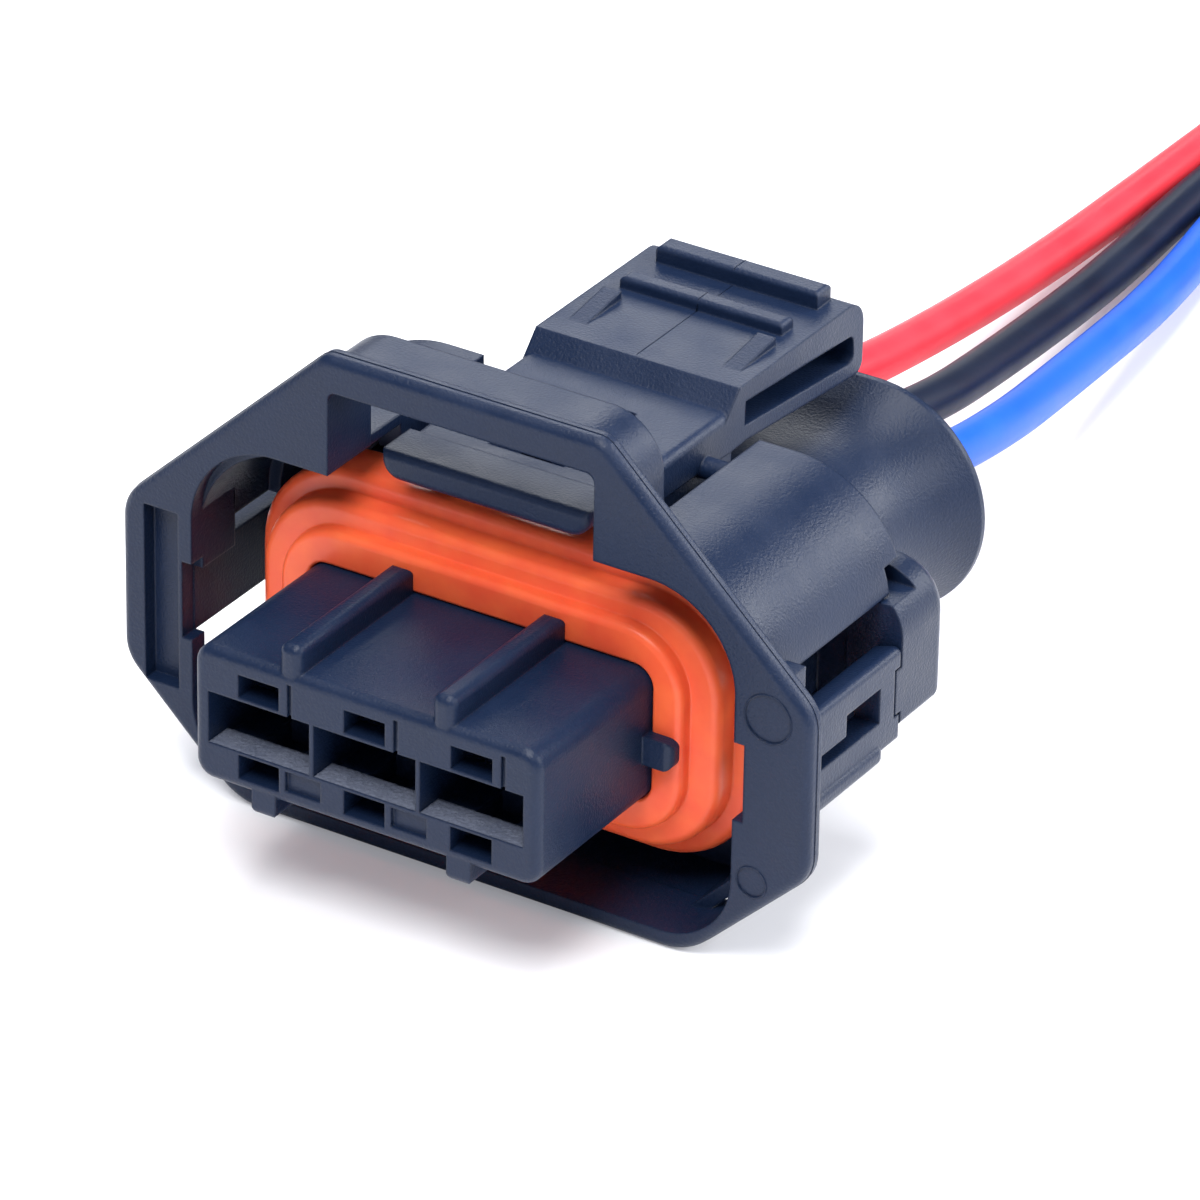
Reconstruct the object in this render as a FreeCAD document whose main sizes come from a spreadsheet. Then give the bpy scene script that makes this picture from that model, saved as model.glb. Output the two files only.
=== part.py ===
# Three-way sealed plug for a fuel injector or rail sensor, with three short leads.
# Lengths are in millimetres. X runs across the three ways, Y from the mating face
# to the wires, Z up. The plug stands on the bottom of its guard hoop, at Z = 0.
import FreeCAD
import Part
import Sketcher
import math
import os
from types import SimpleNamespace

doc = FreeCAD.newDocument("sealed_plug")
sheet = doc.addObject("Spreadsheet::Sheet", "Sizes")


class Size:
    """A length of the sheet, or one worked out from such lengths, with its formula."""

    def __init__(self, value, formula):
        self.value = value
        self.formula = formula

    def __add__(self, other):
        other = as_size(other)
        return Size(self.value + other.value, f"({self.formula} + {other.formula})")

    def __sub__(self, other):
        other = as_size(other)
        return Size(self.value - other.value, f"({self.formula} - {other.formula})")

    def __mul__(self, other):
        other = as_size(other)
        return Size(self.value * other.value, f"({self.formula} * {other.formula})")

    def __truediv__(self, other):
        other = as_size(other)
        return Size(self.value / other.value, f"({self.formula} / {other.formula})")

    def __neg__(self):
        return Size(-self.value, f"(-1 * {self.formula})")

    def __radd__(self, other):
        return as_size(other) + self

    def __rsub__(self, other):
        return as_size(other) - self

    def __rmul__(self, other):
        return as_size(other) * self


def as_size(number):
    """A plain number as a Size, so that the two can be mixed in a sum."""
    if isinstance(number, Size):
        return number
    return Size(float(number), str(float(number)))


def driving(alias, value):
    """One driving dimension: a cell of the sheet with its alias."""
    row = driving.rows = getattr(driving, "rows", 0) + 1
    sheet.set(f"A{row}", alias.replace("_", " "))
    sheet.set(f"B{row}", str(value))
    sheet.setAlias(f"B{row}", alias)
    return Size(float(value), f"Sizes.{alias}")


LENGTHS = {
    # The nose, which carries the three ways
    "way_pitch": 5.3,
    "nose_width": 17.2,
    "nose_height": 6.4,
    "nose_length": 13.2,
    "nose_corner": 0.9,
    "nose_edge": 0.45,
    "mouth_width": 5.1,
    "mouth_depth": 1.4,
    "mouth_top": 1.1,
    "mouth_floor": 1.35,
    "port_width": 2.05,
    "upper_port_low": 1.25,
    "upper_port_high": 2.35,
    "lower_port_low": 2.65,
    "lower_port_high": 1.5,
    "port_depth": 4.0,
    "throat_depth": 5.0,
    "throat_floor": 1.7,
    "panel_high": 1.55,
    "panel_low": 2.5,
    "panel_left": 1.33,
    "panel_right": 3.1,
    "panel_depth": 0.22,
    "slit_offset": 1.55,
    "slit_width": 0.22,
    "chamber_width": 4.1,
    "chamber_height": 3.1,
    "rib_width": 1.1,
    "rib_height": 1.25,
    "top_rib_spread": 3.8,
    "keel_spread": 4.88,
    "keel_shift": -0.22,
    "keel_width": 1.2,
    "keel_height": 1.0,
    "rib_setback": 0.05,
    "rib_length": 8.55,
    "rib_round": 0.4,
    "nub_reach": 1.4,
    "nub_height": 1.35,
    "nub_front": 8.0,
    "nub_length": 1.2,
    "nub_centre": 0.35,
    # The guard hoop
    "hoop_front": 7.1,
    "hoop_width": 34.5,
    "hoop_top": 14.1,
    "hoop_bottom": 8.95,
    "hoop_depth": 3.3,
    "hoop_lip": 0.95,
    "crown_half": 6.9,
    "shoulder_height": 4.3,
    "jaw_height": 3.4,
    "chin_half": 11.4,
    "hoop_corner": 2.0,
    "chin_corner": 3.0,
    "crown_corner": 1.0,
    "mouthway_half": 13.6,
    "mouthway_top": 8.5,
    "mouthway_bottom": 8.1,
    "mouthway_corner": 4.3,
    "mouthway_lower_corner": 3.5,
    "hoop_edge": 0.42,
    "parting_step": 0.07,
    "pocket_inner": 14.3,
    "pocket_outer": 16.05,
    "pocket_top": 4.35,
    "pocket_low": 4.2,
    "pocket_depth": 0.75,
    "belly_depth": 13.3,
    "belly_half": 10.4,
    "belly_side": 13.4,
    "belly_rise": 5.7,
    "belly_wall": 0.65,
    "belly_clearance": 0.15,
    "ejector_mark": 0.06,
    "notch_reach": 0.5,
    "notch_high": 2.1,
    "notch_low": 1.6,
    "window_half": 6.6,
    "window_top": 12.5,
    "post_half": 7.95,
    "crown_bar_corner": 2.6,
    "foot_height": 4.9,
    # The skirt behind the hoop: two curved shells and two side rails
    "skirt_rear": 19.7,
    "shell_top": 8.7,
    "shell_inner_half": 6.95,
    "shell_side": 14.25,
    "shell_radius": 5.5,
    "shell_wall": 1.1,
    "shell_edge": 4.0,
    "left_shell_edge": 2.95,
    "cheek_depth": 1.85,
    "notch_run": 1.15,
    "relief_wall": 0.5,
    "relief_depth": 13.2,
    "rail_side": 15.3,
    "rail_inner": 14.05,
    "rail_top": 1.85,
    "rail_crest": 2.2,
    "rail_low": 1.6,
    "rail_hem": 2.8,
    "bead_reach": 0.15,
    "bead_rear": 16.4,
    "bead_height": 1.0,
    "rail_window_front": 13.4,
    "rail_window_rear": 16.15,
    "rail_window_low": 0.8,
    "rail_window_high": 0.9,
    "rear_wall": 1.5,
    "core_half": 11.0,
    "core_height": 11.2,
    # The oval neck and its flared rim
    "neck_radius": 4.3,
    "neck_straight": 27.6,
    "rim_plane": 32.6,
    "rim_radius": 5.55,
    "rim_edge": 0.3,
    "neck_wall": 0.9,
    "bore_floor": 23.9,
    "bore_mouth": 28.1,
    "bore_radius": 2.15,
    # The rocker latch
    "latch_half": 5.15,
    "latch_front": 8.9,
    "latch_top": 9.2,
    "latch_nose_low": 8.1,
    "latch_plate": 1.6,
    "latch_ramp": 20.2,
    "ramp_run": 0.8,
    "pad_top": 10.05,
    "latch_rear": 31.3,
    "heel_round": 1.2,
    "toe_round": 0.9,
    "toe_edge": 0.35,
    "toe_rise": 0.2,
    "toe_rear": 11.2,
    "latch_edge": 0.45,
    "slot_round": 0.4,
    "wedge_spread": 3.9,
    "wedge_width": 0.9,
    "wedge_front": 21.6,
    "wedge_rear": 25.2,
    "wedge_rise": 0.4,
    "pad_low": 6.45,
    "catch_half": 1.9,
    "catch_front": 12.2,
    "catch_rear": 17.95,
    "grip_half": 4.1,
    "front_grip": 26.1,
    "rear_grip": 29.05,
    "front_grip_width": 0.95,
    "rear_grip_width": 1.15,
    "front_grip_rise": 0.55,
    "rear_grip_rise": 0.8,
    "web_front": 13.4,
    "web_wall": 0.9,
    "web_step": 0.12,
    "web_ledge": 7.38,
    "web_low": 6.7,
    "pivot_depth": 18.3,
    "pivot_height": 7.45,
    "pivot_radius": 0.5,
    # The secondary lock
    "lock_front": 17.9,
    "lock_rear": 21.6,
    "lock_head_inner": 12.5,
    "lock_head_top": 4.6,
    "lock_head_low": 1.75,
    "lock_head_corner": 2.2,
    "tongue_thick": 1.2,
    "tongue_top": 1.7,
    "lug_width": 0.7,
    "lug_rise": 0.8,
    "lug_offset": 1.15,
    "lock_lip_thick": 0.8,
    "lock_lip_reach": 0.45,
    "lock_lip_low": 1.0,
    "lock_lip_high": 1.1,
    "lock_edge": 0.3,
    "lock_heel": 0.8,
    "lock_travel": 2.0,
    "lock_play": 0.12,
    # The seal round the nose
    "seal_front": 8.6,
    "seal_face_half": 10.1,
    "seal_face_height": 4.9,
    "seal_step": 9.35,
    "seal_ring_half": 11.5,
    "seal_ring_height": 5.9,
    "seal_lip_start": 10.6,
    "seal_lip_half": 12.4,
    "seal_lip_height": 6.8,
    "seal_rear": 12.9,
    "seal_face_corner": 3.0,
    "seal_ring_corner": 4.0,
    "seal_lip_corner": 4.7,
    # The contacts, their springs and the wire seals
    "contact_width": 3.4,
    "contact_height": 2.5,
    "contact_front": 5.3,
    "contact_box": 7.6,
    "contact_sheet": 0.3,
    "shoulder_depth": 17.6,
    "crimp_radius": 0.95,
    "crimp_front": 18.0,
    "lead_start": 21.3,
    "grip_front": 21.7,
    "grip_rear": 23.5,
    "grip_wall": 0.25,
    "spring_sheet": 0.2,
    "spring_front": 6.1,
    "spring_length": 5.0,
    "fit_play": 0.05,
    "lead_radius": 1.05,
    "strand_radius": 0.6,
    "strand_length": 3.0,
    "lead_rest": 1.1,
    "coil_x": 7.1,
    "coil_y": 98.0,
    "coil_radius": 9.4,
    "coil_pitch": 2.2,
    "coil_layer": 2.15,
    "coil_entry": 6.0,
    "coil_length": 98.0,
}
dim = SimpleNamespace(**{alias: driving(alias, value) for alias, value in LENGTHS.items()})

doc.recompute()

front_y = -dim.rim_plane / 2
WAYS = (-1, 0, 1)


def bind(thing, prop, size):
    """Ties one property to the sheet."""
    thing.setExpression(prop, as_size(size).formula)


def seat(thing, label):
    """Names a finished sub-part and puts it in the plug's own frame."""
    thing.Label = label
    bind(thing, ".Placement.Base.y", front_y)
    bind(thing, ".Placement.Base.z", dim.hoop_bottom)
    return thing


def block(name, across, along, up):
    """A box from three spans, each a lower and an upper size."""
    made = doc.addObject("Part::Box", name)
    for prop, axis, (low, high) in zip(
        ("Length", "Width", "Height"), "xyz", (across, along, up)
    ):
        bind(made, prop, as_size(high) - as_size(low))
        bind(made, f".Placement.Base.{axis}", low)
    return made


def rod(name, radius, centre, along):
    """A cylinder along Y, from a centre (x, z) and a span."""
    made = doc.addObject("Part::Cylinder", name)
    bind(made, "Radius", radius)
    bind(made, "Height", as_size(along[1]) - as_size(along[0]))
    made.Placement = FreeCAD.Placement(
        FreeCAD.Vector(), FreeCAD.Rotation(FreeCAD.Vector(1, 0, 0), -90)
    )
    bind(made, ".Placement.Base.x", centre[0])
    bind(made, ".Placement.Base.y", along[0])
    bind(made, ".Placement.Base.z", centre[1])
    return made


def joined(name, pieces):
    """One fused solid."""
    made = doc.addObject("Part::MultiFuse", name)
    made.Shapes = pieces
    made.Refine = True
    return made


def without(name, base, tools):
    """The base less every tool."""
    made = doc.addObject("Part::Cut", name)
    made.Base = base
    made.Tool = tools[0] if len(tools) == 1 else joined(f"{name}_tools", tools)
    made.Refine = True
    return made


def new_body(name):
    return doc.addObject("PartDesign::Body", name)


def origin_plane(body, role):
    """The body's own origin plane of that role."""
    return next(f for f in body.Origin.OriginFeatures if f.Role == role)


def bow(start, end, radius):
    """A round line between two points; a positive radius turns left on its way."""
    chord = end - start
    rise = abs(radius) - math.sqrt(radius**2 - (chord.Length / 2) ** 2)
    side = FreeCAD.Vector(chord.y, -chord.x, 0).normalize()
    return Part.Arc(start, (start + end) * 0.5 + side * math.copysign(rise, radius), end)


def sketch_on(body, name, role, outlines, offset=None):
    """A sketch of closed outlines whose corners are tied to the sheet.

    A corner with a third entry starts a round line of that radius.
    """
    made = body.newObject("Sketcher::SketchObject", name)
    made.AttachmentSupport = [(origin_plane(body, role), "")]
    made.MapMode = "FlatFace"
    if offset is not None:
        bind(made, ".AttachmentOffset.Base.z", offset)
    for corners in outlines:
        corners = [[as_size(size) for size in corner] for corner in corners]
        first = made.GeometryCount
        ends = []
        for here, there in zip(corners, corners[1:] + corners[:1]):
            start = FreeCAD.Vector(here[0].value, here[1].value, 0)
            end = FreeCAD.Vector(there[0].value, there[1].value, 0)
            round_line = len(here) > 2
            shape = bow(start, end, here[2].value) if round_line else Part.LineSegment(start, end)
            made.addGeometry(shape, False)
            ends.append((2, 1) if round_line and here[2].value < 0 else (1, 2))
        for k, (u, v, *bend) in enumerate(corners):
            line = first + k
            after = (k + 1) % len(corners)
            made.addConstraint(
                Sketcher.Constraint("Coincident", line, ends[k][1], first + after, ends[after][0])
            )
            ties = [("DistanceX", u), ("DistanceY", v)]
            for kind, size in ties:
                tie = made.addConstraint(
                    Sketcher.Constraint(kind, -1, 1, line, ends[k][0], size.value)
                )
                made.setExpression(f"Constraints[{tie}]", size.formula)
            for radius in bend:
                if radius.value < 0:
                    radius = -radius
                tie = made.addConstraint(Sketcher.Constraint("Radius", line, radius.value))
                made.setExpression(f"Constraints[{tie}]", radius.formula)
    return made


def pad(body, name, sketch, length, reverse=False, midplane=False):
    """Material raised from a sketch."""
    made = body.newObject("PartDesign::Pad", name)
    made.Profile = sketch
    made.Reversed = reverse
    made.Midplane = midplane
    bind(made, "Length", length)
    doc.recompute()
    return made


def pocket(body, name, sketch, length, reverse=False, midplane=False):
    """Material cut away below a sketch; the cut has to take some volume."""
    before = body.Shape.Volume
    made = body.newObject("PartDesign::Pocket", name)
    made.Profile = sketch
    made.Reversed = reverse
    made.Midplane = midplane
    bind(made, "Length", length)
    doc.recompute()
    if not made.Shape.Volume < before - 1e-6:
        raise ValueError(f"{name} cuts nothing")
    return made


def edges_where(shape, test):
    """Names of the straight edges whose two ends pass a test."""
    found = []
    for number, edge in enumerate(shape.Edges, start=1):
        if len(edge.Vertexes) == 2 and edge.Curve.TypeId == "Part::GeomLine":
            a, b = (v.Point for v in edge.Vertexes)
            if test(a, b):
                found.append(f"Edge{number}")
    return found


def corner_edges(shape, axis, spots):
    """Edges along an axis that pass through given spots of the plane across it."""
    across = [k for k in range(3) if k != axis]

    def at_spot(a, b):
        if any(abs(a[k] - b[k]) > 1e-6 for k in across):
            return False
        return any(
            all(abs(a[k] - spot[i]) < 1e-4 for i, k in enumerate(across))
            for spot in spots
        )

    return edges_where(shape, at_spot)


def rounded(body, name, radius, axis, spots):
    """A fillet on the edges along an axis at the given corners."""
    base = body.Tip
    spots = [tuple(as_size(s).value for s in spot) for spot in spots]
    names = corner_edges(base.Shape, axis, spots)
    if not names:
        raise ValueError(f"{name} finds no edge")
    made = body.newObject("PartDesign::Fillet", name)
    made.Base = (base, names)
    bind(made, "Radius", radius)
    doc.recompute()
    return made


def eased(body, name, radius, test):
    """A fillet on every edge whose end points all pass a test."""
    base = body.Tip
    names = [
        f"Edge{number}"
        for number, edge in enumerate(base.Shape.Edges, start=1)
        if all(test(vertex.Point) for vertex in edge.Vertexes)
    ]
    if not names:
        raise ValueError(f"{name} finds no edge")
    made = body.newObject("PartDesign::Fillet", name)
    made.Base = (base, names)
    bind(made, "Radius", radius)
    doc.recompute()
    return made


def soft_block(name, across, along, up, radius, test):
    """A box from three spans, with a fillet on the edges whose ends pass a test."""
    across, along, up = [[as_size(v) for v in span] for span in (across, along, up)]
    made = new_body(name)
    corners = [
        (across[0], up[0]),
        (across[1], up[0]),
        (across[1], up[1]),
        (across[0], up[1]),
    ]
    section = sketch_on(made, f"{name}_outline", "XZ_Plane", [corners], offset=-along[0])
    pad(made, f"{name}_pad", section, along[1] - along[0], reverse=True)
    eased(made, f"{name}_edges", radius, test)
    return made


def near(value, size):
    """True where a coordinate equals a size."""
    return abs(value - as_size(size).value) < 1e-5


def mirrored_points(points):
    """An outline that is the same on both sides of X = 0, from its right half."""
    return points + [(-as_size(x), z) for x, z in reversed(points)]


# The guard hoop: a front lip with rounded edges and, a hair smaller, the bars behind it
half = dim.hoop_width / 2
lip_rear = dim.hoop_front + dim.hoop_lip
hoop_rear = dim.hoop_front + dim.hoop_depth


hoop_lip = new_body("hoop_lip")
crown = (dim.crown_half, dim.hoop_top)
shoulder = (half, dim.shoulder_height)
jaw = (half, -dim.jaw_height)
chin = (dim.chin_half, -dim.hoop_bottom)
hoop_outline = mirrored_points([crown, shoulder, jaw, chin])
hoop_section = sketch_on(
    hoop_lip, "hoop_lip_outline", "XZ_Plane", [hoop_outline], offset=-dim.hoop_front
)
pad(hoop_lip, "hoop_lip_pad", hoop_section, dim.hoop_lip, reverse=True)
for name, radius, (x, z) in (
    ("crown", dim.crown_corner, crown),
    ("shoulder", dim.hoop_corner, shoulder),
    ("jaw", dim.hoop_corner, jaw),
    ("chin", dim.chin_corner, chin),
):
    rounded(hoop_lip, f"hoop_lip_{name}", radius, 1, [(x, z), (-x, z)])
eased(hoop_lip, "hoop_lip_edge", dim.hoop_edge, lambda p: near(p.y, dim.hoop_front))
# Behind its lip the hoop goes on only as a crown bar on two posts and as a foot
crown_bar = new_body("crown_bar")
crown_corners = [
    (dim.post_half, dim.hoop_top - dim.parting_step),
    (dim.post_half, dim.mouthway_top - 0.5),
]
pad(
    crown_bar,
    "crown_bar_pad",
    sketch_on(
        crown_bar, "crown_bar_outline", "XZ_Plane", [mirrored_points(crown_corners)], offset=-lip_rear
    ),
    hoop_rear - lip_rear,
    reverse=True,
)
rounded(
    crown_bar,
    "crown_bar_corners",
    dim.crown_bar_corner,
    1,
    [(side * dim.post_half, dim.hoop_top - dim.parting_step) for side in (1, -1)],
)
foot_bar = new_body("foot_bar")
foot_rise = dim.hoop_bottom - dim.foot_height
foot_reach = (half - dim.chin_half) * foot_rise / (dim.hoop_bottom - dim.jaw_height)
foot_corners = [
    (dim.chin_half + foot_reach - dim.parting_step, -dim.foot_height),
    (dim.chin_half - dim.parting_step, -dim.hoop_bottom),
]
pad(
    foot_bar,
    "foot_bar_pad",
    sketch_on(
        foot_bar, "foot_bar_outline", "XZ_Plane", [mirrored_points(foot_corners)], offset=-lip_rear
    ),
    hoop_rear - lip_rear,
    reverse=True,
)
rounded(
    foot_bar,
    "foot_bar_corners",
    dim.chin_corner,
    1,
    [(side * (dim.chin_half - dim.parting_step), -dim.hoop_bottom) for side in (1, -1)],
)
hoop_span = (dim.hoop_front - 1, hoop_rear + 1)


def mouthway(name, half_width, top, bottom, arch, cradle, span):
    """A rounded opening through the hoop, as a body to cut with."""
    made = new_body(name)
    outline = mirrored_points([(half_width, top), (half_width, -bottom)])
    section = sketch_on(made, f"{name}_outline", "XZ_Plane", [outline], offset=-span[0])
    pad(made, f"{name}_pad", section, span[1] - span[0], reverse=True)
    rounded(made, f"{name}_arch", arch, 1, [(half_width, top), (-half_width, top)])
    rounded(made, f"{name}_cradle", cradle, 1, [(half_width, -bottom), (-half_width, -bottom)])
    return made


notch_half = dim.mouthway_half + dim.notch_reach
hoop_cuts = [
    mouthway(
        "mouthway",
        dim.mouthway_half,
        dim.mouthway_top,
        dim.mouthway_bottom,
        dim.mouthway_corner,
        dim.mouthway_lower_corner,
        hoop_span,
    ),
    block("side_notches", (-notch_half, notch_half), hoop_span, (-dim.notch_low, dim.notch_high)),
    soft_block(
        "catch_window",
        (-dim.window_half, dim.window_half),
        hoop_span,
        (dim.mouthway_top - 2, dim.window_top),
        dim.hoop_edge,
        lambda p: near(p.z, dim.window_top),
    ),
    block(
        "left_pocket",
        (-dim.pocket_outer, -dim.pocket_inner),
        (dim.hoop_front - 1, dim.hoop_front + dim.pocket_depth),
        (-dim.pocket_low, dim.pocket_top),
    ),
]
# The round marks that two ejector pins leave on the right cheek of the lip
for name, x, z, radius in (("high", 15.2, 3.7, 1.12), ("low", 14.6, -4.3, 0.72)):
    hoop_cuts.append(
        rod(
            f"{name}_ejector_mark",
            as_size(radius),
            (as_size(x), as_size(z)),
            (dim.hoop_front - 1, dim.hoop_front + dim.ejector_mark),
        )
    )
hoop_ring = without("hoop_ring_cut", joined("hoop_solid", [hoop_lip, crown_bar, foot_bar]), hoop_cuts)

# The belly closes the underside between the hoop and the core
belly = new_body("belly")
belly_outer = mirrored_points(
    [
        (dim.belly_side, -dim.belly_rise + 1),
        (dim.belly_side, -dim.belly_rise),
        (dim.belly_half, -dim.hoop_bottom + dim.belly_clearance),
    ]
)
belly_front = hoop_rear - 0.9
belly_section = sketch_on(belly, "belly_outline", "XZ_Plane", [belly_outer], offset=-belly_front)
pad(belly, "belly_pad", belly_section, dim.belly_depth - belly_front + dim.belly_wall, reverse=True)
belly_inner = mirrored_points(
    [
        (dim.belly_side - dim.belly_wall, -dim.belly_rise + 2),
        (dim.belly_side - dim.belly_wall, -dim.belly_rise + 0.1),
        (
            dim.belly_half - dim.belly_wall / 3,
            -dim.hoop_bottom + dim.belly_clearance + dim.belly_wall,
        ),
    ]
)
belly_hollow = new_body("belly_hollow")
pad(
    belly_hollow,
    "belly_hollow_pad",
    sketch_on(belly_hollow, "hollow_outline", "XZ_Plane", [belly_inner], offset=-belly_front + 1),
    dim.belly_depth - belly_front + 1,
    reverse=True,
)
belly_tray = without("belly_tray", belly, [belly_hollow])

# The two curved shells of the skirt, with the cheeks that face the latch
shells = []
for side, sign, hem_height in (("right", 1, dim.shell_edge), ("left", -1, dim.left_shell_edge)):
    shell = new_body(f"{side}_shell")
    outline = [
        (sign * dim.shell_inner_half, dim.shell_top),
        (sign * dim.shell_side, dim.shell_top),
        (sign * dim.shell_side, dim.shell_top - dim.shell_radius - 0.4),
        (sign * (dim.shell_side - dim.shell_wall), dim.shell_top - dim.shell_radius - 0.4),
        (sign * (dim.shell_side - dim.shell_wall), dim.shell_top - dim.shell_wall),
        (sign * (dim.shell_inner_half + dim.shell_wall), dim.shell_top - dim.shell_wall),
        (sign * (dim.shell_inner_half + dim.shell_wall), dim.shell_top - dim.cheek_depth),
        (sign * dim.shell_inner_half, dim.shell_top - dim.cheek_depth),
    ]
    pad(
        shell,
        f"{side}_shell_pad",
        sketch_on(shell, f"{side}_shell_outline", "XZ_Plane", [outline], offset=-lip_rear + 0.1),
        dim.skirt_rear - lip_rear + 0.1,
        reverse=True,
    )
    rounded(shell, f"{side}_shell_crown", dim.shell_radius, 1, [(sign * dim.shell_side, dim.shell_top)])
    rounded(
        shell,
        f"{side}_shell_inside",
        dim.shell_radius - dim.shell_wall,
        1,
        [(sign * (dim.shell_side - dim.shell_wall), dim.shell_top - dim.shell_wall)],
    )
    hem = [
        (sign * (dim.shell_side + 1), hem_height),
        (sign * (dim.shell_side + 1), hem_height - 3),
        (sign * (dim.shell_side - 3), hem_height - 3),
        (sign * (dim.shell_side - 3), hem_height),
    ]
    pocket(
        shell,
        f"{side}_shell_hem",
        sketch_on(shell, f"{side}_hem_outline", "XZ_Plane", [hem], offset=-lip_rear + 1),
        dim.skirt_rear + 2,
    )
    relief = mouthway(
        f"{side}_relief",
        dim.shell_side - dim.relief_wall,
        dim.shell_top - dim.relief_wall,
        dim.mouthway_bottom,
        dim.shell_radius - dim.relief_wall,
        dim.mouthway_lower_corner,
        (lip_rear - 1, dim.relief_depth),
    )
    shells.append(without(f"{side}_shell_thinned", shell, [relief]))

# The two side rails; the right one stops at the secondary lock
rails = []
for side, sign, rear in (("right", 1, dim.lock_front - 0.15), ("left", -1, dim.skirt_rear)):
    rail = new_body(f"{side}_rail")
    outline = [
        (sign * dim.rail_inner, -dim.rail_low),
        (sign * dim.rail_side, -dim.rail_hem),
        (sign * dim.rail_side, dim.rail_crest),
        (sign * dim.rail_inner, dim.rail_top),
    ]
    pad(
        rail,
        f"{side}_rail_pad",
        sketch_on(rail, f"{side}_rail_outline", "XZ_Plane", [outline], offset=-lip_rear + 0.1),
        rear - lip_rear + 0.1,
        reverse=True,
    )
    rounded(
        rail,
        f"{side}_rail_edges",
        0.3,
        1,
        [(sign * dim.rail_side, dim.rail_crest), (sign * dim.rail_side, -dim.rail_hem)],
    )
    rails.append(rail)

# Behind the lip a cheek closes the gap between each shell and its rail
cheeks = []
for side, sign in (("right", 1), ("left", -1)):
    walls = sorted(
        (sign * dim.mouthway_half, sign * (dim.rail_side - 0.3)), key=lambda size: size.value
    )
    cheeks.append(
        block(
            f"{side}_cheek",
            walls,
            (lip_rear - 0.1, hoop_rear),
            (dim.rail_top - 0.3, dim.shell_edge + 0.6),
        )
    )

# The nose, whose corners and front edge are rounded
nose = new_body("nose")
nose_half = dim.nose_width / 2
nose_up = dim.nose_height / 2
nose_corners = mirrored_points([(nose_half, nose_up), (nose_half, -nose_up)])
pad(
    nose,
    "nose_pad",
    sketch_on(nose, "nose_outline", "XZ_Plane", [nose_corners]),
    dim.nose_length,
    reverse=True,
)
rounded(
    nose,
    "nose_corners",
    dim.nose_corner,
    1,
    [(sx * nose_half, sz * nose_up) for sx in (1, -1) for sz in (1, -1)],
)
front_edges = [
    f"Edge{n}"
    for n, edge in enumerate(nose.Shape.Edges, start=1)
    if all(abs(v.Point.y) < 1e-6 for v in edge.Vertexes)
]
nose_block = nose.Tip
nose_front = nose.newObject("PartDesign::Fillet", "nose_front")
nose_front.Base = (nose_block, front_edges)
bind(nose_front, "Radius", dim.nose_edge)
doc.recompute()

# The core behind the seal and the rear wall that carries the skirt
core = new_body("core")
core_up = dim.core_height / 2
pad(
    core,
    "core_pad",
    sketch_on(
        core,
        "core_outline",
        "XZ_Plane",
        [mirrored_points([(dim.core_half, core_up), (dim.core_half, -core_up)])],
        offset=-dim.nose_length,
    ),
    dim.skirt_rear - dim.nose_length,
    reverse=True,
)
rounded(
    core,
    "core_corners",
    2.6,
    1,
    [(sx * dim.core_half, sz * core_up) for sx in (1, -1) for sz in (1, -1)],
)
wall = new_body("rear_wall")
wall_outline = [
    (dim.shell_side - 0.5, dim.shell_top - 0.5),
    (dim.shell_inner_half + 0.4, dim.shell_top - 0.5),
    (dim.shell_inner_half + 0.4, dim.pivot_height - 1.3),
    (-dim.shell_inner_half - 0.4, dim.pivot_height - 1.3),
    (-dim.shell_inner_half - 0.4, dim.shell_top - 0.5),
    (-dim.shell_side + 0.5, dim.shell_top - 0.5),
    (-dim.shell_side + 0.5, -dim.rail_low),
    (-dim.core_half + 1, -core_up + 1),
    (dim.core_half - 1, -core_up + 1),
    (dim.shell_side - 0.5, -dim.rail_low),
]
pad(
    wall,
    "rear_wall_pad",
    sketch_on(
        wall,
        "rear_wall_outline",
        "XZ_Plane",
        [wall_outline],
        offset=-dim.skirt_rear + dim.rear_wall,
    ),
    dim.rear_wall,
    reverse=True,
)
rounded(
    wall,
    "rear_wall_corners",
    dim.shell_radius - 0.5,
    1,
    [(dim.shell_side - 0.5, dim.shell_top - 0.5), (-dim.shell_side + 0.5, dim.shell_top - 0.5)],
)
left_web = block(
    "left_web",
    (-dim.rail_side + 0.2, -dim.shell_side + 0.6),
    (dim.skirt_rear - dim.rear_wall, dim.skirt_rear),
    (-dim.rail_low, dim.rail_top),
)

# The oval neck: one profile, turned round at each end and drawn straight between
neck = new_body("neck")
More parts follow.
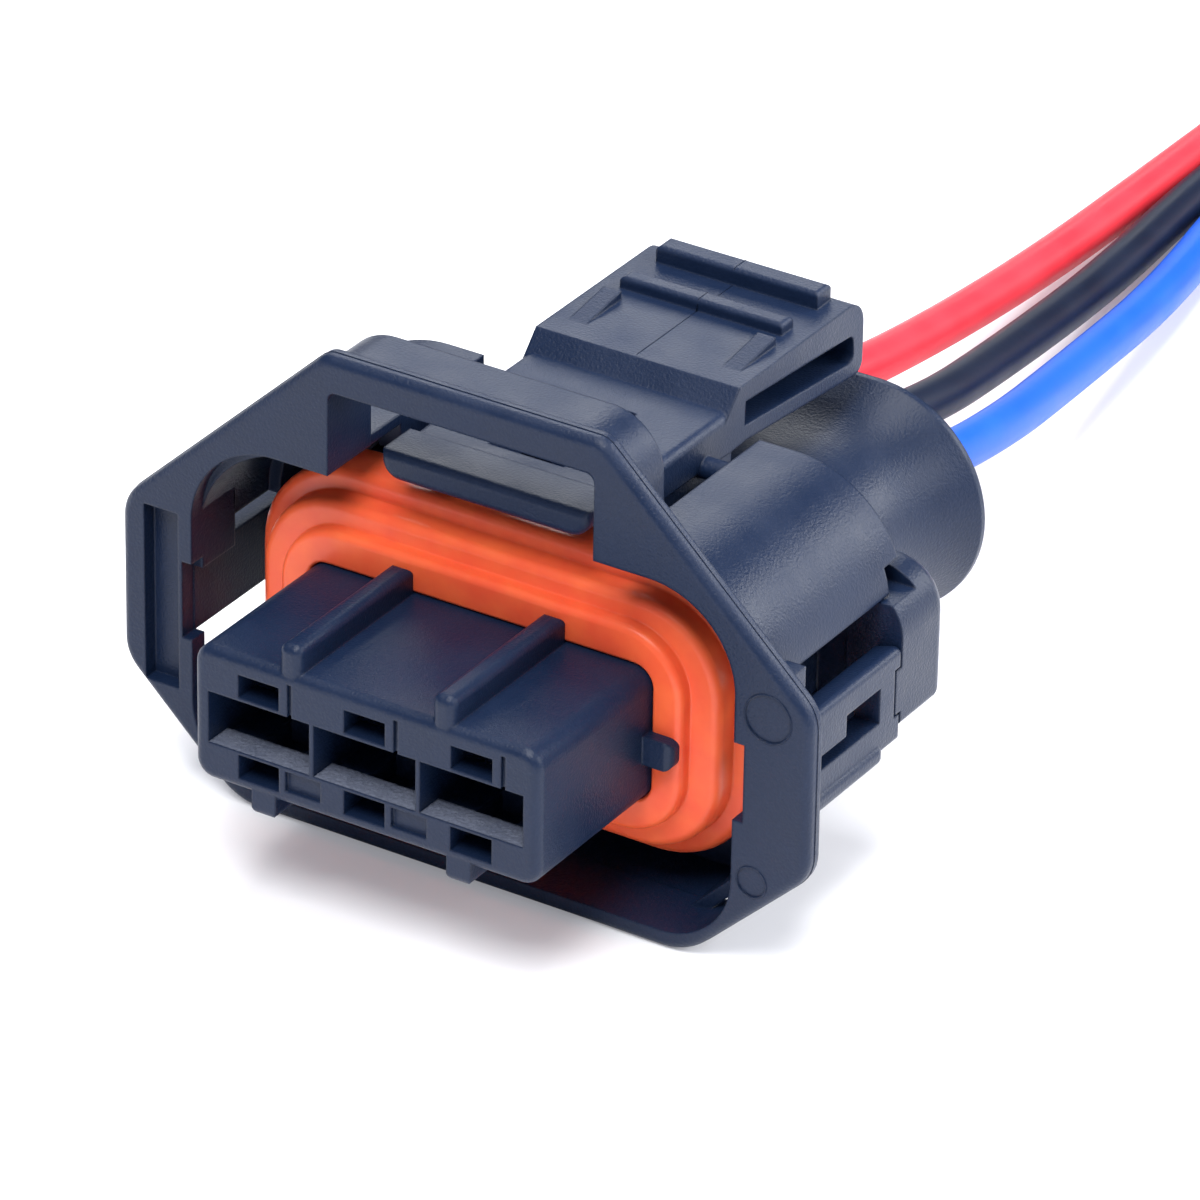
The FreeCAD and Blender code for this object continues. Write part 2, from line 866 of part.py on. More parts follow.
# The flare is an arc that leaves the straight part as its tangent
flare_run = dim.rim_plane - dim.rim_edge - dim.neck_straight
flare_rise = dim.rim_radius - dim.neck_radius
flare = (flare_run * flare_run / flare_rise + flare_rise) / 2
neck_profile = [
    (dim.skirt_rear - 0.5, 0),
    (dim.skirt_rear - 0.5, dim.neck_radius),
    (dim.neck_straight, dim.neck_radius, flare),
    (dim.rim_plane - dim.rim_edge, dim.rim_radius),
    (dim.rim_plane, dim.rim_radius),
    (dim.rim_plane, dim.rim_radius - dim.rim_edge),
    (dim.neck_straight + flare_run * 0.45, dim.neck_radius - dim.neck_wall + 0.1),
    (dim.bore_mouth, dim.neck_radius - dim.neck_wall),
    (dim.bore_mouth, 0),
]
for name, sign in (("right", 1), ("left", -1)):
    turned = neck.newObject("PartDesign::Revolution", f"{name}_neck_end")
    turned.Profile = sketch_on(
        neck, f"{name}_neck_profile", "YZ_Plane", [neck_profile], offset=sign * dim.way_pitch
    )
    turned.ReferenceAxis = (turned.Profile[0], ["H_Axis"])
    turned.Angle = 180
    turned.Reversed = sign < 0
    doc.recompute()
    if sign > 0:
        upper = neck_profile[1:-1]
        lower = [
            (dim.bore_mouth, -dim.neck_radius + dim.neck_wall),
            (dim.neck_straight + flare_run * 0.45, -dim.neck_radius + dim.neck_wall - 0.1),
            (dim.rim_plane, -dim.rim_radius + dim.rim_edge),
            (dim.rim_plane, -dim.rim_radius),
            (dim.rim_plane - dim.rim_edge, -dim.rim_radius, flare),
            (dim.neck_straight, -dim.neck_radius),
            (dim.skirt_rear - 0.5, -dim.neck_radius),
        ]
        section = upper + lower
        pad(
            neck,
            "neck_middle",
            sketch_on(neck, "neck_section", "YZ_Plane", [section]),
            2 * dim.way_pitch,
            midplane=True,
        )

# Ribs above and below the nose, and the key on its right side
top_ribs = [
    soft_block(
        f"top_rib_{k}",
        (sign * dim.top_rib_spread - dim.rib_width / 2, sign * dim.top_rib_spread + dim.rib_width / 2),
        (dim.rib_setback, dim.rib_setback + dim.rib_length),
        (nose_up - 1, nose_up + dim.rib_height),
        dim.rib_round,
        lambda p: near(p.z, nose_up + dim.rib_height) or near(p.y, dim.rib_setback),
    )
    for k, sign in enumerate((-1, 1), start=1)
]
keels = []
for k, sign in enumerate((-1, 1), start=1):
    centre = sign * dim.keel_spread + dim.keel_shift
    keels.append(
        soft_block(
            f"keel_{k}",
            (centre - dim.keel_width / 2, centre + dim.keel_width / 2),
            (dim.rib_setback, dim.rib_setback + dim.rib_length),
            (-nose_up - dim.keel_height, -nose_up + 0.5),
            dim.rib_round,
            lambda p: near(p.z, -nose_up - dim.keel_height),
        )
    )
nub = soft_block(
    "key_nub",
    (nose_half - 0.8, nose_half + dim.nub_reach),
    (dim.nub_front, dim.nub_front + dim.nub_length),
    (-dim.nub_centre - dim.nub_height / 2, -dim.nub_centre + dim.nub_height / 2),
    dim.rib_round,
    lambda p: near(p.x, nose_half + dim.nub_reach),
)

# The bead along the foot of the right rail
bead = soft_block(
    "right_bead",
    (dim.rail_inner, dim.rail_side + dim.bead_reach),
    (lip_rear - 0.1, dim.bead_rear),
    (-dim.rail_hem, -dim.rail_hem + dim.bead_height),
    dim.rib_round,
    lambda p: near(p.x, dim.rail_side + dim.bead_reach) or near(p.y, dim.bead_rear),
)


housing_solid = joined(
    "housing_solid",
    [
        nose,
        core,
        wall,
        neck,
        left_web,
        *top_ribs,
        *keels,
        nub,
        hoop_ring,
        belly_tray,
        *shells,
        *cheeks,
        *reversed(rails),
        bead,
    ],
)

# Everything that is cut out of the moulding
hollows = []
for way in WAYS:
    x = way * dim.way_pitch
    tag = f"way_{way + 2}"
    hollows += [
        block(
            f"{tag}_mouth",
            (x - dim.mouth_width / 2, x + dim.mouth_width / 2),
            (-1, dim.mouth_depth),
            (-dim.mouth_floor, dim.mouth_top),
        ),
        block(
            f"{tag}_throat",
            (x - dim.mouth_width / 2, x + dim.mouth_width / 2),
            (dim.mouth_depth, dim.throat_depth),
            (-dim.throat_floor, dim.mouth_top),
        ),
        block(
            f"{tag}_slit",
            (x + dim.slit_offset - dim.slit_width / 2, x + dim.slit_offset + dim.slit_width / 2),
            (-1, dim.panel_depth),
            (dim.mouth_top, dim.upper_port_high + 0.3),
        ),
        block(
            f"{tag}_chamber",
            (x - dim.chamber_width / 2, x + dim.chamber_width / 2),
            (dim.mouth_depth - 0.1, dim.bore_floor + 0.1),
            (-dim.chamber_height / 2, dim.chamber_height / 2),
        ),
        block(
            f"{tag}_upper_port",
            (x - dim.port_width / 2, x + dim.port_width / 2),
            (-1, dim.port_depth),
            (dim.upper_port_low, dim.upper_port_high),
        ),
        block(
            f"{tag}_lower_port",
            (x - dim.port_width / 2, x + dim.port_width / 2),
            (-1, dim.port_depth),
            (-dim.lower_port_low, -dim.lower_port_high),
        ),
        rod(f"{tag}_bore", dim.bore_radius, (x, 0), (dim.bore_floor, dim.bore_mouth + 0.5)),
        block(
            f"{tag}_lug_way",
            (
                x + dim.lug_offset - dim.lug_width / 2 - dim.lock_play,
                x + dim.lug_offset + dim.lug_width / 2 + dim.lock_travel + dim.lock_play,
            ),
            (dim.lock_front - dim.lock_play, dim.lock_rear - 0.3 + dim.lock_play),
            (-dim.tongue_top - 0.05, -dim.tongue_top + dim.lug_rise + dim.lock_play),
        ),
    ]
hollows += [
    *[
        block(
            f"{side}_panel",
            (x + dim.panel_left, x + dim.panel_right),
            (-1, dim.panel_depth),
            (-dim.panel_low, -dim.panel_high),
        )
        for side, x in (("left", -dim.way_pitch), ("right", as_size(0)))
    ],
    block(
        "tongue_way",
        (-dim.way_pitch - 1.6, dim.rail_side + 2),
        (dim.lock_front - dim.lock_play, dim.lock_rear - 0.3 + dim.lock_play),
        (-dim.tongue_top - dim.tongue_thick - dim.lock_play, -dim.tongue_top + dim.lock_play),
    ),
    block(
        "head_way",
        (dim.lock_head_inner - dim.lock_play, dim.rail_side + 2),
        (dim.lock_front - dim.lock_play, dim.skirt_rear + 3),
        (-dim.tongue_top - dim.tongue_thick - dim.lock_play, dim.shell_edge - 0.02),
    ),
    block(
        "lock_lip_way",
        (dim.rail_side - dim.lock_lip_thick - dim.lock_play, dim.rail_side + 2),
        (dim.lock_front - dim.lock_lip_reach - dim.lock_play, dim.lock_front),
        (-dim.lock_lip_low - dim.lock_play, dim.lock_lip_high + dim.lock_play),
    ),
    block(
        "rail_window",
        (dim.rail_inner - 1, dim.rail_side + 1),
        (dim.rail_window_front, dim.rail_window_rear),
        (-dim.rail_window_low, dim.rail_window_high),
    ),
    block(
        "rail_slot",
        (dim.rail_inner - 1, dim.rail_side + 1),
        (lip_rear + 0.4, dim.rail_window_front + 0.1),
        (-dim.rail_window_low, -0.1),
    ),
]
hollows.append(
    block(
        "shell_notch",
        (dim.shell_side - 2, dim.shell_side + 1),
        (dim.skirt_rear - dim.notch_run, dim.skirt_rear + 1),
        (dim.shell_edge - 0.5, dim.shell_edge + dim.notch_run),
    )
)
housing = seat(without("housing_moulding", housing_solid, hollows), "housing")

# The rocker latch, drawn from the side
latch = new_body("latch")
plate_low = dim.latch_top - dim.latch_plate
latch_side = [
    (dim.toe_rear - 0.4, dim.latch_nose_low),
    (dim.toe_rear - 0.4, dim.latch_top),
    (dim.latch_ramp, dim.latch_top),
    (dim.latch_ramp + dim.ramp_run, dim.pad_top),
    (dim.latch_rear, dim.pad_top),
    (dim.latch_rear, dim.pad_low),
    (dim.latch_ramp + dim.ramp_run + 0.6, dim.pad_low + 0.85),
    (dim.latch_ramp, plate_low - 0.35),
    (dim.toe_rear + 2, plate_low),
    (dim.toe_rear, dim.latch_nose_low),
]
pad(
    latch,
    "latch_pad",
    sketch_on(latch, "latch_outline", "YZ_Plane", [latch_side]),
    2 * dim.latch_half,
    midplane=True,
)
for name, spot, radius in (
    ("heel_top", (dim.latch_rear, dim.pad_top), dim.heel_round),
    ("heel_low", (dim.latch_rear, dim.pad_low), dim.heel_round / 2),
):
    rounded(latch, name, radius, 0, [spot])
toe = new_body("latch_toe")
toe_corners = [
    (dim.latch_half, dim.latch_top + dim.toe_rise),
    (dim.latch_half, dim.latch_nose_low),
]
pad(
    toe,
    "latch_toe_pad",
    sketch_on(
        toe, "latch_toe_outline", "XZ_Plane", [mirrored_points(toe_corners)], offset=-dim.latch_front
    ),
    dim.toe_rear - dim.latch_front,
    reverse=True,
)
rounded(
    toe,
    "toe_corners",
    dim.toe_round,
    1,
    [(dim.latch_half, dim.latch_nose_low), (-dim.latch_half, dim.latch_nose_low)],
)
eased(toe, "toe_edge", dim.toe_edge, lambda p: near(p.y, dim.latch_front))
slot_outline = [
    (dim.latch_ramp + 1.25, dim.pad_low + 1.6),
    (dim.latch_ramp + 1.3, dim.pad_top - 0.85),
    (dim.latch_rear - 0.85, dim.pad_top - 1.5),
    (dim.latch_rear - 0.75, dim.pad_low + 0.75),
]
slot_depth = 3.2
for side, sign in (("right", 1), ("left", -1)):
    pocket(
        latch,
        f"{side}_slot",
        sketch_on(latch, f"{side}_slot_outline", "YZ_Plane", [slot_outline], offset=sign * dim.latch_half),
        slot_depth,
        reverse=sign < 0,
    )
rounded(latch, "slot_ends", dim.slot_round, 0, slot_outline[2:])
rounded(
    latch,
    "latch_long_edges",
    dim.latch_edge,
    1,
    [(dim.latch_half, dim.latch_top), (-dim.latch_half, dim.latch_top)],
)
pivots = []
for side, sign in (("right", 1), ("left", -1)):
    pin = doc.addObject("Part::Cylinder", f"{side}_pivot")
    bind(pin, "Radius", dim.pivot_radius)
    bind(pin, "Height", dim.shell_inner_half - dim.latch_half + 0.5)
    pin.Placement = FreeCAD.Placement(
        FreeCAD.Vector(), FreeCAD.Rotation(FreeCAD.Vector(0, 1, 0), sign * 90)
    )
    bind(pin, ".Placement.Base.x", sign * (dim.latch_half - 0.5))
    bind(pin, ".Placement.Base.y", dim.pivot_depth)
    bind(pin, ".Placement.Base.z", dim.pivot_height)
    pivots.append(pin)
grips = [
    soft_block(
        name,
        (-dim.grip_half, dim.grip_half),
        (start, start + width),
        (dim.pad_top - 0.4, dim.pad_top + rise),
        as_size(0.22),
        lambda p, top=dim.pad_top + rise: near(p.z, top),
    )
    for name, start, width, rise in (
        ("front_grip", dim.front_grip, dim.front_grip_width, dim.front_grip_rise),
        ("rear_grip", dim.rear_grip, dim.rear_grip_width, dim.rear_grip_rise),
    )
]
latch_webs = []
for side, sign in (("right", 1), ("left", -1)):
    for part_name, drawn_in, low, high in (
        ("web", 0, dim.web_ledge, plate_low + 0.2),
        ("foot", dim.web_step, dim.web_low, dim.web_ledge),
    ):
        walls = sorted(
            (sign * (dim.latch_half - drawn_in), sign * (dim.latch_half - dim.web_wall)),
            key=lambda size: size.value,
        )
        latch_webs.append(
            block(
                f"{side}_latch_{part_name}",
                walls,
                (dim.web_front, dim.latch_ramp + 0.4),
                (low, high),
            )
        )
wedges = []
for side, sign in (("right", 1), ("left", -1)):
    wedge = new_body(f"{side}_wedge")
    wedge_side = [
        (dim.wedge_front, dim.pad_top - 0.1),
        (dim.wedge_rear, dim.pad_top - 0.1),
        (dim.wedge_rear, dim.pad_top + dim.wedge_rise),
    ]
    outline = sketch_on(
        wedge,
        f"{side}_wedge_outline",
        "YZ_Plane",
        [wedge_side],
        offset=sign * dim.wedge_spread,
    )
    pad(wedge, f"{side}_wedge_pad", outline, dim.wedge_width, midplane=True)
    wedges.append(wedge)
catch = block(
    "catch",
    (-dim.catch_half, dim.catch_half),
    (dim.catch_front, dim.catch_rear),
    (0, dim.pad_top + 2),
)
seat(
    without(
        "latch_moulding",
        joined("latch_solid", [latch, toe, *latch_webs, *pivots, *grips, *wedges]),
        [catch],
    ),
    "latch_lever",
)

# The secondary lock: a head flush with the right rail, a tongue and three lugs
head = new_body("lock_head")
pad(
    head,
    "lock_head_pad",
    sketch_on(
        head,
        "lock_head_outline",
        "XZ_Plane",
        [
            [
                (dim.lock_head_inner, -dim.lock_head_low),
                (dim.rail_side, -dim.lock_head_low),
                (dim.rail_side, dim.lock_head_top),
                (dim.lock_head_inner, dim.lock_head_top),
            ]
        ],
        offset=-dim.lock_front,
    ),
    dim.lock_rear - dim.lock_front,
    reverse=True,
)
rounded(head, "lock_head_round", dim.lock_head_corner, 1, [(dim.rail_side, dim.lock_head_top)])
rounded(head, "lock_head_hem", dim.lock_edge, 1, [(dim.rail_side, -dim.lock_head_low)])
rounded(head, "lock_head_heel", dim.lock_heel, 0, [(dim.lock_rear, -dim.lock_head_low)])
head_step = block(
    "lock_head_step",
    (dim.lock_head_inner - 1, dim.rail_side + 1),
    (dim.lock_front - 1, dim.skirt_rear + dim.lock_play),
    (dim.shell_edge - dim.lock_play - 0.02, dim.lock_head_top + 1),
)
head_lip = block(
    "lock_head_lip",
    (dim.rail_side - dim.lock_lip_thick, dim.rail_side),
    (dim.lock_front - dim.lock_lip_reach, dim.lock_front + 0.3),
    (-dim.lock_lip_low, dim.lock_lip_high),
)
tongue = block(
    "lock_tongue",
    (-dim.way_pitch - 1.5 + dim.lug_offset, dim.lock_head_inner + 1),
    (dim.lock_front, dim.lock_rear - 0.3),
    (-dim.tongue_top - dim.tongue_thick, -dim.tongue_top),
)
lugs = [
    block(
        f"lock_lug_{way + 2}",
        (
            way * dim.way_pitch + dim.lug_offset - dim.lug_width / 2,
            way * dim.way_pitch + dim.lug_offset + dim.lug_width / 2,
        ),
        (dim.lock_front, dim.lock_rear - 0.3),
        (-dim.tongue_top - 0.2, -dim.tongue_top + dim.lug_rise),
    )
    for way in WAYS
]
stepped_head = without("lock_stepped_head", head, [head_step])
seat(joined("lock_moulding", [stepped_head, head_lip, tongue, *lugs]), "secondary_lock")

# The seal: three stepped rings pushed over the nose
def ring_body(name, half_width, half_height, start, end, corner):
    """A rounded-rectangle disc across the Y axis."""
    made = new_body(name)
    pad(
        made,
        f"{name}_pad",
        sketch_on(
            made,
            f"{name}_outline",
            "XZ_Plane",
            [mirrored_points([(half_width, half_height), (half_width, -half_height)])],
            offset=-start,
        ),
        end - start,
        reverse=True,
    )
    rounded(
        made,
        f"{name}_corners",
        corner,
        1,
        [(sx * half_width, sz * half_height) for sx in (1, -1) for sz in (1, -1)],
    )
    return made


rings = [
    ring_body(
        "seal_face",
        dim.seal_face_half,
        dim.seal_face_height,
        dim.seal_front,
        dim.seal_rear,
        dim.seal_face_corner,
    ),
    ring_body(
        "seal_ring",
        dim.seal_ring_half,
        dim.seal_ring_height,
        dim.seal_step,
        dim.seal_rear,
        dim.seal_ring_corner,
    ),
    ring_body(
        "seal_lip",
        dim.seal_lip_half,
        dim.seal_lip_height,
        dim.seal_lip_start,
        dim.seal_rear,
        dim.seal_lip_corner,
    ),
]
eye = ring_body(
    "seal_eye",
    nose_half + dim.fit_play,
    nose_up + dim.fit_play,
    dim.seal_front - 1,
    dim.seal_rear + 1,
    dim.nose_corner,
)
nub_eye = block(
    "seal_nub_eye",
    (0, nose_half + dim.nub_reach + dim.fit_play),
    (dim.nub_front - 1, dim.nub_front + dim.nub_length + dim.fit_play),
    (
        -dim.nub_centre - dim.nub_height / 2 - dim.fit_play,
        -dim.nub_centre + dim.nub_height / 2 + dim.fit_play,
    ),
)
seat(without("seal_moulding", joined("seal_solid", rings), [eye, nub_eye]), "interface_seal")

# Contacts, their steel springs and the wire seals, one set for each way
for way in WAYS:
    x = way * dim.way_pitch
    tag = f"{way + 2}"
    wide = dim.contact_width / 2
    tall = dim.contact_height / 2
    sheet_in = dim.contact_sheet
    shell_box = block(
        f"contact_box_{tag}",
        (x - wide, x + wide),
        (dim.contact_front, dim.contact_front + dim.contact_box),
        (-tall, tall),
    )
    channel = block(
        f"contact_channel_{tag}",
        (x - wide + 0.2, x + wide - 0.2),
        (dim.contact_front + dim.contact_box - 0.5, dim.shoulder_depth),
        (-tall, tall * 0.4),
    )
    neck_strip = block(
        f"contact_strip_{tag}",
        (x - 0.6, x + 0.6),
        (dim.shoulder_depth - 0.5, dim.grip_rear),
        (-dim.crimp_radius, -dim.crimp_radius + dim.contact_sheet),
    )
    barrel = rod(f"contact_barrel_{tag}", dim.crimp_radius, (x, 0), (dim.crimp_front, dim.lead_start))
    clasp = rod(
        f"contact_clasp_{tag}",
        dim.lead_radius + dim.fit_play + dim.grip_wall,
        (x, 0),
        (dim.grip_front, dim.grip_rear),
    )
    inner = block(
        f"contact_inside_{tag}",
        (x - wide + sheet_in, x + wide - sheet_in),
        (dim.contact_front - 1, dim.contact_front + dim.contact_box - 0.6),
        (-tall + sheet_in, tall - sheet_in),
    )
    trough = block(
        f"contact_trough_{tag}",
        (x - wide + 0.2 + sheet_in, x + wide - 0.2 - sheet_in),
        (dim.contact_front + dim.contact_box - 0.1, dim.shoulder_depth + 1),
        (-tall + sheet_in, tall + 1),
    )
    grip_bore = rod(
        f"contact_grip_{tag}",
        dim.lead_radius + dim.fit_play,
        (x, 0),
        (dim.lead_start, dim.grip_rear + 1),
    )
    front_sheet = joined(f"contact_sheet_{tag}", [shell_box, channel])
    front = without(f"contact_front_{tag}", front_sheet, [inner, trough])
    crimps = joined(f"contact_crimps_{tag}", [neck_strip, barrel, clasp])
    rear = without(f"contact_rear_{tag}", crimps, [grip_bore])
    seat(joined(f"contact_{tag}", [front, rear]), f"terminal_{tag}")
    sleeve = block(
        f"spring_outside_{tag}",
        (x - wide - dim.fit_play - dim.spring_sheet, x + wide + dim.fit_play + dim.spring_sheet),
        (dim.spring_front, dim.spring_front + dim.spring_length),
        (-tall - dim.fit_play - 0.04, tall + dim.fit_play + dim.spring_sheet),
    )
    hollow = block(
        f"spring_inside_{tag}",
        (x - wide - dim.fit_play, x + wide + dim.fit_play),
        (dim.spring_front - 1, dim.spring_front + dim.spring_length + 1),
        (-tall - 1, tall + dim.fit_play),
    )
    seat(without(f"spring_{tag}", sleeve, [hollow]), f"terminal_spring_{tag}")
    plug_outer = rod(
        f"wire_seal_body_{tag}",
        dim.bore_radius - dim.fit_play,
        (x, 0),
        (dim.bore_floor + 0.1, dim.bore_mouth - 0.5),
    )
    plug_inner = rod(
        f"wire_seal_eye_{tag}",
        dim.lead_radius + dim.fit_play,
        (x, 0),
        (dim.bore_floor - 1, dim.bore_mouth + 1),
    )
    seat(without(f"wire_seal_{tag}_moulding", plug_outer, [plug_inner]), f"wire_seal_{tag}")

# The leads. Each leaves its wire seal, hangs down to the floor and runs into its coil
FLOOR = dim.lead_rest - dim.hoop_bottom
ENTRY = dim.coil_y - dim.coil_entry
LEADS = {
    "red": {
        "way": -1,
        "ring": 2,
        "route": [(-4.05, 44.3, -2.6), (-5.0, 55.8, -5.0), (-5.9, 67.8, -6.75), (-6.7, 80.3, -7.75)],
        "climb": (235, 290),
    },
    "black": {
        "way": 0,
        "ring": 1,
        "route": [(0.68, 44.3, -2.6), (-1.1, 55.8, -5.0), (-2.65, 67.8, -6.75), (-4.5, 80.3, -7.75)],
        "climb": (240, 300),
    },
    "blue": {
        "way": 1,
        "ring": 0,
        "route": [(4.54, 44.3, -2.6), (2.3, 55.8, -5.0), (0.46, 67.8, -6.75), (-2.3, 80.3, -7.75)],
        "climb": (285, 345),
    },
}
first_bend = 32.8
ARC_SHARE = 0.45


def lead_route(points):
    """Straight runs joined by tangent arcs, each as large as its two runs allow."""
    corners = [FreeCAD.Vector(*p) for p in points]
    edges = []
    radii = []
    start = corners[0]
    for before, corner, after in zip(corners, corners[1:], corners[2:]):
        way_in = (corner - before).normalize()
        way_out = (after - corner).normalize()
        half_turn = way_in.getAngle(way_out) / 2
        reach = ARC_SHARE * min((corner - before).Length, (after - corner).Length)
        radius = reach / math.tan(half_turn)
        radii.append(radius)
        arc_start = corner - way_in * reach
        arc_end = corner + way_out * reach
        inward = (way_out - way_in).normalize()
        middle = corner + inward * (radius / math.cos(half_turn) - radius)
        edges.append(Part.makeLine(start, arc_start))
        edges.append(Part.Arc(arc_start, middle, arc_end).toShape())
        start = arc_end
    edges.append(Part.makeLine(start, corners[-1]))
    return Part.Wire(edges), radii


def lead_tube(colour, lead):
    """The tube along the hanging stretch, in the frame of the lead's own start."""
    x = lead["way"] * dim.way_pitch
    end_x = dim.coil_x - dim.coil_radius - lead["ring"] * dim.coil_pitch
    points = [(x.value, dim.lead_start.value, 0), (x.value, first_bend, 0), *lead["route"]]
    points.append((end_x.value, ENTRY.value, FLOOR.value))
    points = [(u - x.value, v - dim.lead_start.value, w) for u, v, w in points]
    spine, radii = lead_route(points)
    section = Part.Wire(
        Part.makeCircle(dim.lead_radius.value, FreeCAD.Vector(), FreeCAD.Vector(0, 1, 0))
    )
    shell = Part.BRepOffsetAPI.MakePipeShell(spine)
    shell.setFrenetMode(False)
    shell.add(section, False, False)
    shell.build()
    shell.makeSolid()
    made = doc.addObject("Part::Feature", f"{colour}_lead")
    made.Shape = shell.shape()
    made.Label = f"{colour}_lead"
    bind(made, ".Placement.Base.x", x)
    bind(made, ".Placement.Base.y", dim.lead_start + front_y)
    bind(made, ".Placement.Base.z", dim.hoop_bottom)
    plain_volume = math.pi * dim.lead_radius.value**2 * spine.Length
    share = made.Shape.Volume / plain_volume
    if not 0.99 < share < 1.01:
        raise ValueError(f"{colour} lead holds {share:.3f} of section times length")
    shown = ", ".join(f"{radius:.1f}" for radius in radii)
    print(f"{colour} lead: {spine.Length:.1f} mm, arc radii {shown}, volume share {share:.4f}")
    return made


def coil_sector(name, radius, low, start, end):
    """One layer of a coil over a span of its turn, which runs clockwise from -X."""
    cylinders = []
    for part_name, reach in (("rim", dim.lead_radius), ("eye", -dim.lead_radius)):
        made = doc.addObject("Part::Cylinder", f"{name}_{part_name}")
        bind(made, "Radius", radius + reach)
        bind(made, "Height", dim.coil_layer)
        bind(made, "Angle", end - start if part_name == "rim" else 360)
        made.Placement = FreeCAD.Placement(
            FreeCAD.Vector(), FreeCAD.Rotation(FreeCAD.Vector(0, 0, 1), 180 - as_size(end).value)
        )
        bind(made, ".Placement.Base.x", dim.coil_x)
        bind(made, ".Placement.Base.y", dim.coil_y)
        bind(made, ".Placement.Base.z", low)
        cylinders.append(made)
    return without(name, cylinders[0], [cylinders[1]])


for colour, lead in LEADS.items():
    lead_tube(colour, lead)
    radius = dim.coil_radius + lead["ring"] * dim.coil_pitch
    turn = dim.coil_length / (radius * 2 * math.pi) * 360
    climb_start, climb_end = lead["climb"]
    low = FLOOR - dim.lead_radius
    stub_x = dim.coil_x - radius
    stub = block(
        f"{colour}_coil_entry",
        (stub_x - dim.lead_radius, stub_x + dim.lead_radius),
        (ENTRY, dim.coil_y),
        (low, low + 2 * dim.lead_radius),
    )
    lower = coil_sector(f"{colour}_coil_lower", radius, low, 0, climb_end)
    upper = coil_sector(f"{colour}_coil_upper", radius, low + dim.coil_layer, climb_start, turn)
    seat(joined(f"{colour}_coil", [stub, lower, upper]), f"{colour}_lead_coil")
    end_turn = math.radians(turn.value)
    strand = doc.addObject("Part::Cylinder", f"{colour}_strand")
    bind(strand, "Radius", dim.strand_radius)
    bind(strand, "Height", dim.strand_length)
    strand.Placement = FreeCAD.Placement(
        FreeCAD.Vector(-radius.value * math.cos(end_turn), radius.value * math.sin(end_turn), 0),
        FreeCAD.Rotation(
            FreeCAD.Vector(0, 0, 1), FreeCAD.Vector(math.sin(end_turn), math.cos(end_turn), 0)
        ),
    )
    seat(strand, f"{colour}_lead_end")
    bind(strand, ".Placement.Base.x", dim.coil_x - radius * math.cos(end_turn))
    bind(strand, ".Placement.Base.y", dim.coil_y + radius * math.sin(end_turn) + front_y)
    bind(strand, ".Placement.Base.z", FLOOR + dim.coil_layer + dim.hoop_bottom)

doc.recompute()

NODES = [
    "housing",
    "latch_lever",
    "secondary_lock",
    "interface_seal",
    *[f"{kind}_{way}" for kind in ("terminal", "terminal_spring", "wire_seal") for way in (1, 2, 3)],
    *[f"{colour}_{kind}" for colour in LEADS for kind in ("lead", "lead_coil", "lead_end")],
]
for thing in doc.Objects:
    if "Invalid" in thing.State or "Error" in thing.State:
        raise ValueError(f"{thing.Name} failed: {thing.State}")
os.makedirs("parts", exist_ok=True)
for label in NODES:
    thing = doc.getObjectsByLabel(label)[0]
    shape = thing.Shape
    if shape.isNull() or not shape.isValid():
        raise ValueError(f"{label} has no valid shape")
    print(f"{label}: {len(shape.Solids)} solids, {len(shape.Faces)} faces, {shape.Volume:.2f} mm3")
    shape.exportStep(f"parts/{label}.step")
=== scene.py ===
# %% [markdown]
# A sealed three-way plug and its three short leads, dressed for its portrait.
#
# The CAD model already holds every rigid shape, so this lesson is about three things:
# soft leads that follow smooth curves, moulded plastic that looks like moulded plastic,
# and small marks that a mould leaves. Blender's lengths are metres. A name that ends in
# _MM holds millimetres, and so do the tables of the leads' points and the seal's profile.

# %% Load the frame
import math
import random

import bmesh
import bpy
from mathutils import Matrix, Vector
from mathutils.bvhtree import BVHTree


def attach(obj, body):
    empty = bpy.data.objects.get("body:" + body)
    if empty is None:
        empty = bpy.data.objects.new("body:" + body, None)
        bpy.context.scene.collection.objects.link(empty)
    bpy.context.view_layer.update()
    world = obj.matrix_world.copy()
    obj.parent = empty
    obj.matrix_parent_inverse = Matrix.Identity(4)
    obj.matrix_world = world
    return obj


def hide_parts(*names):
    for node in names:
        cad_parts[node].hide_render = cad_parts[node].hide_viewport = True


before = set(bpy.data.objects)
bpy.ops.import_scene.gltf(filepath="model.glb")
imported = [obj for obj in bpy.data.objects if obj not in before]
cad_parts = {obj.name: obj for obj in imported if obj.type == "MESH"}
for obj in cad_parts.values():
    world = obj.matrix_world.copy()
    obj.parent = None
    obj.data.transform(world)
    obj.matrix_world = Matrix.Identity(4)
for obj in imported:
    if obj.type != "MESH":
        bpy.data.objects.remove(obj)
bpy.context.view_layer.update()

MM = 0.001
NOSE_AXIS_MM = 8.95
FRONT_MM = -16.3


def placed(name, data):
    """A new object of this data, linked to the scene."""
    made = bpy.data.objects.new(name, data)
    bpy.context.scene.collection.objects.link(made)
    return made


# %% [markdown]
# The camera comes first. The photograph was taken from far away with a long lens: edges
# that are parallel on the plug stay nearly parallel in the picture. The direction was
# worked out from the plug's own straight edges, so the lens and the place are numbers,
# not something found by trial.

# %% Camera
TURN, TILT, ROLL = (math.radians(v) for v in (31.896, 29.089, -0.962))
FOCAL_PX = 8766.0
IMAGE_PX = 1200.0
PX_PER_MM = 24.1
NOSE_PX = (364.0, 766.0)
NOSE_FRONT = Vector((0, FRONT_MM, NOSE_AXIS_MM)) * MM
SENSOR_MM = 36.0

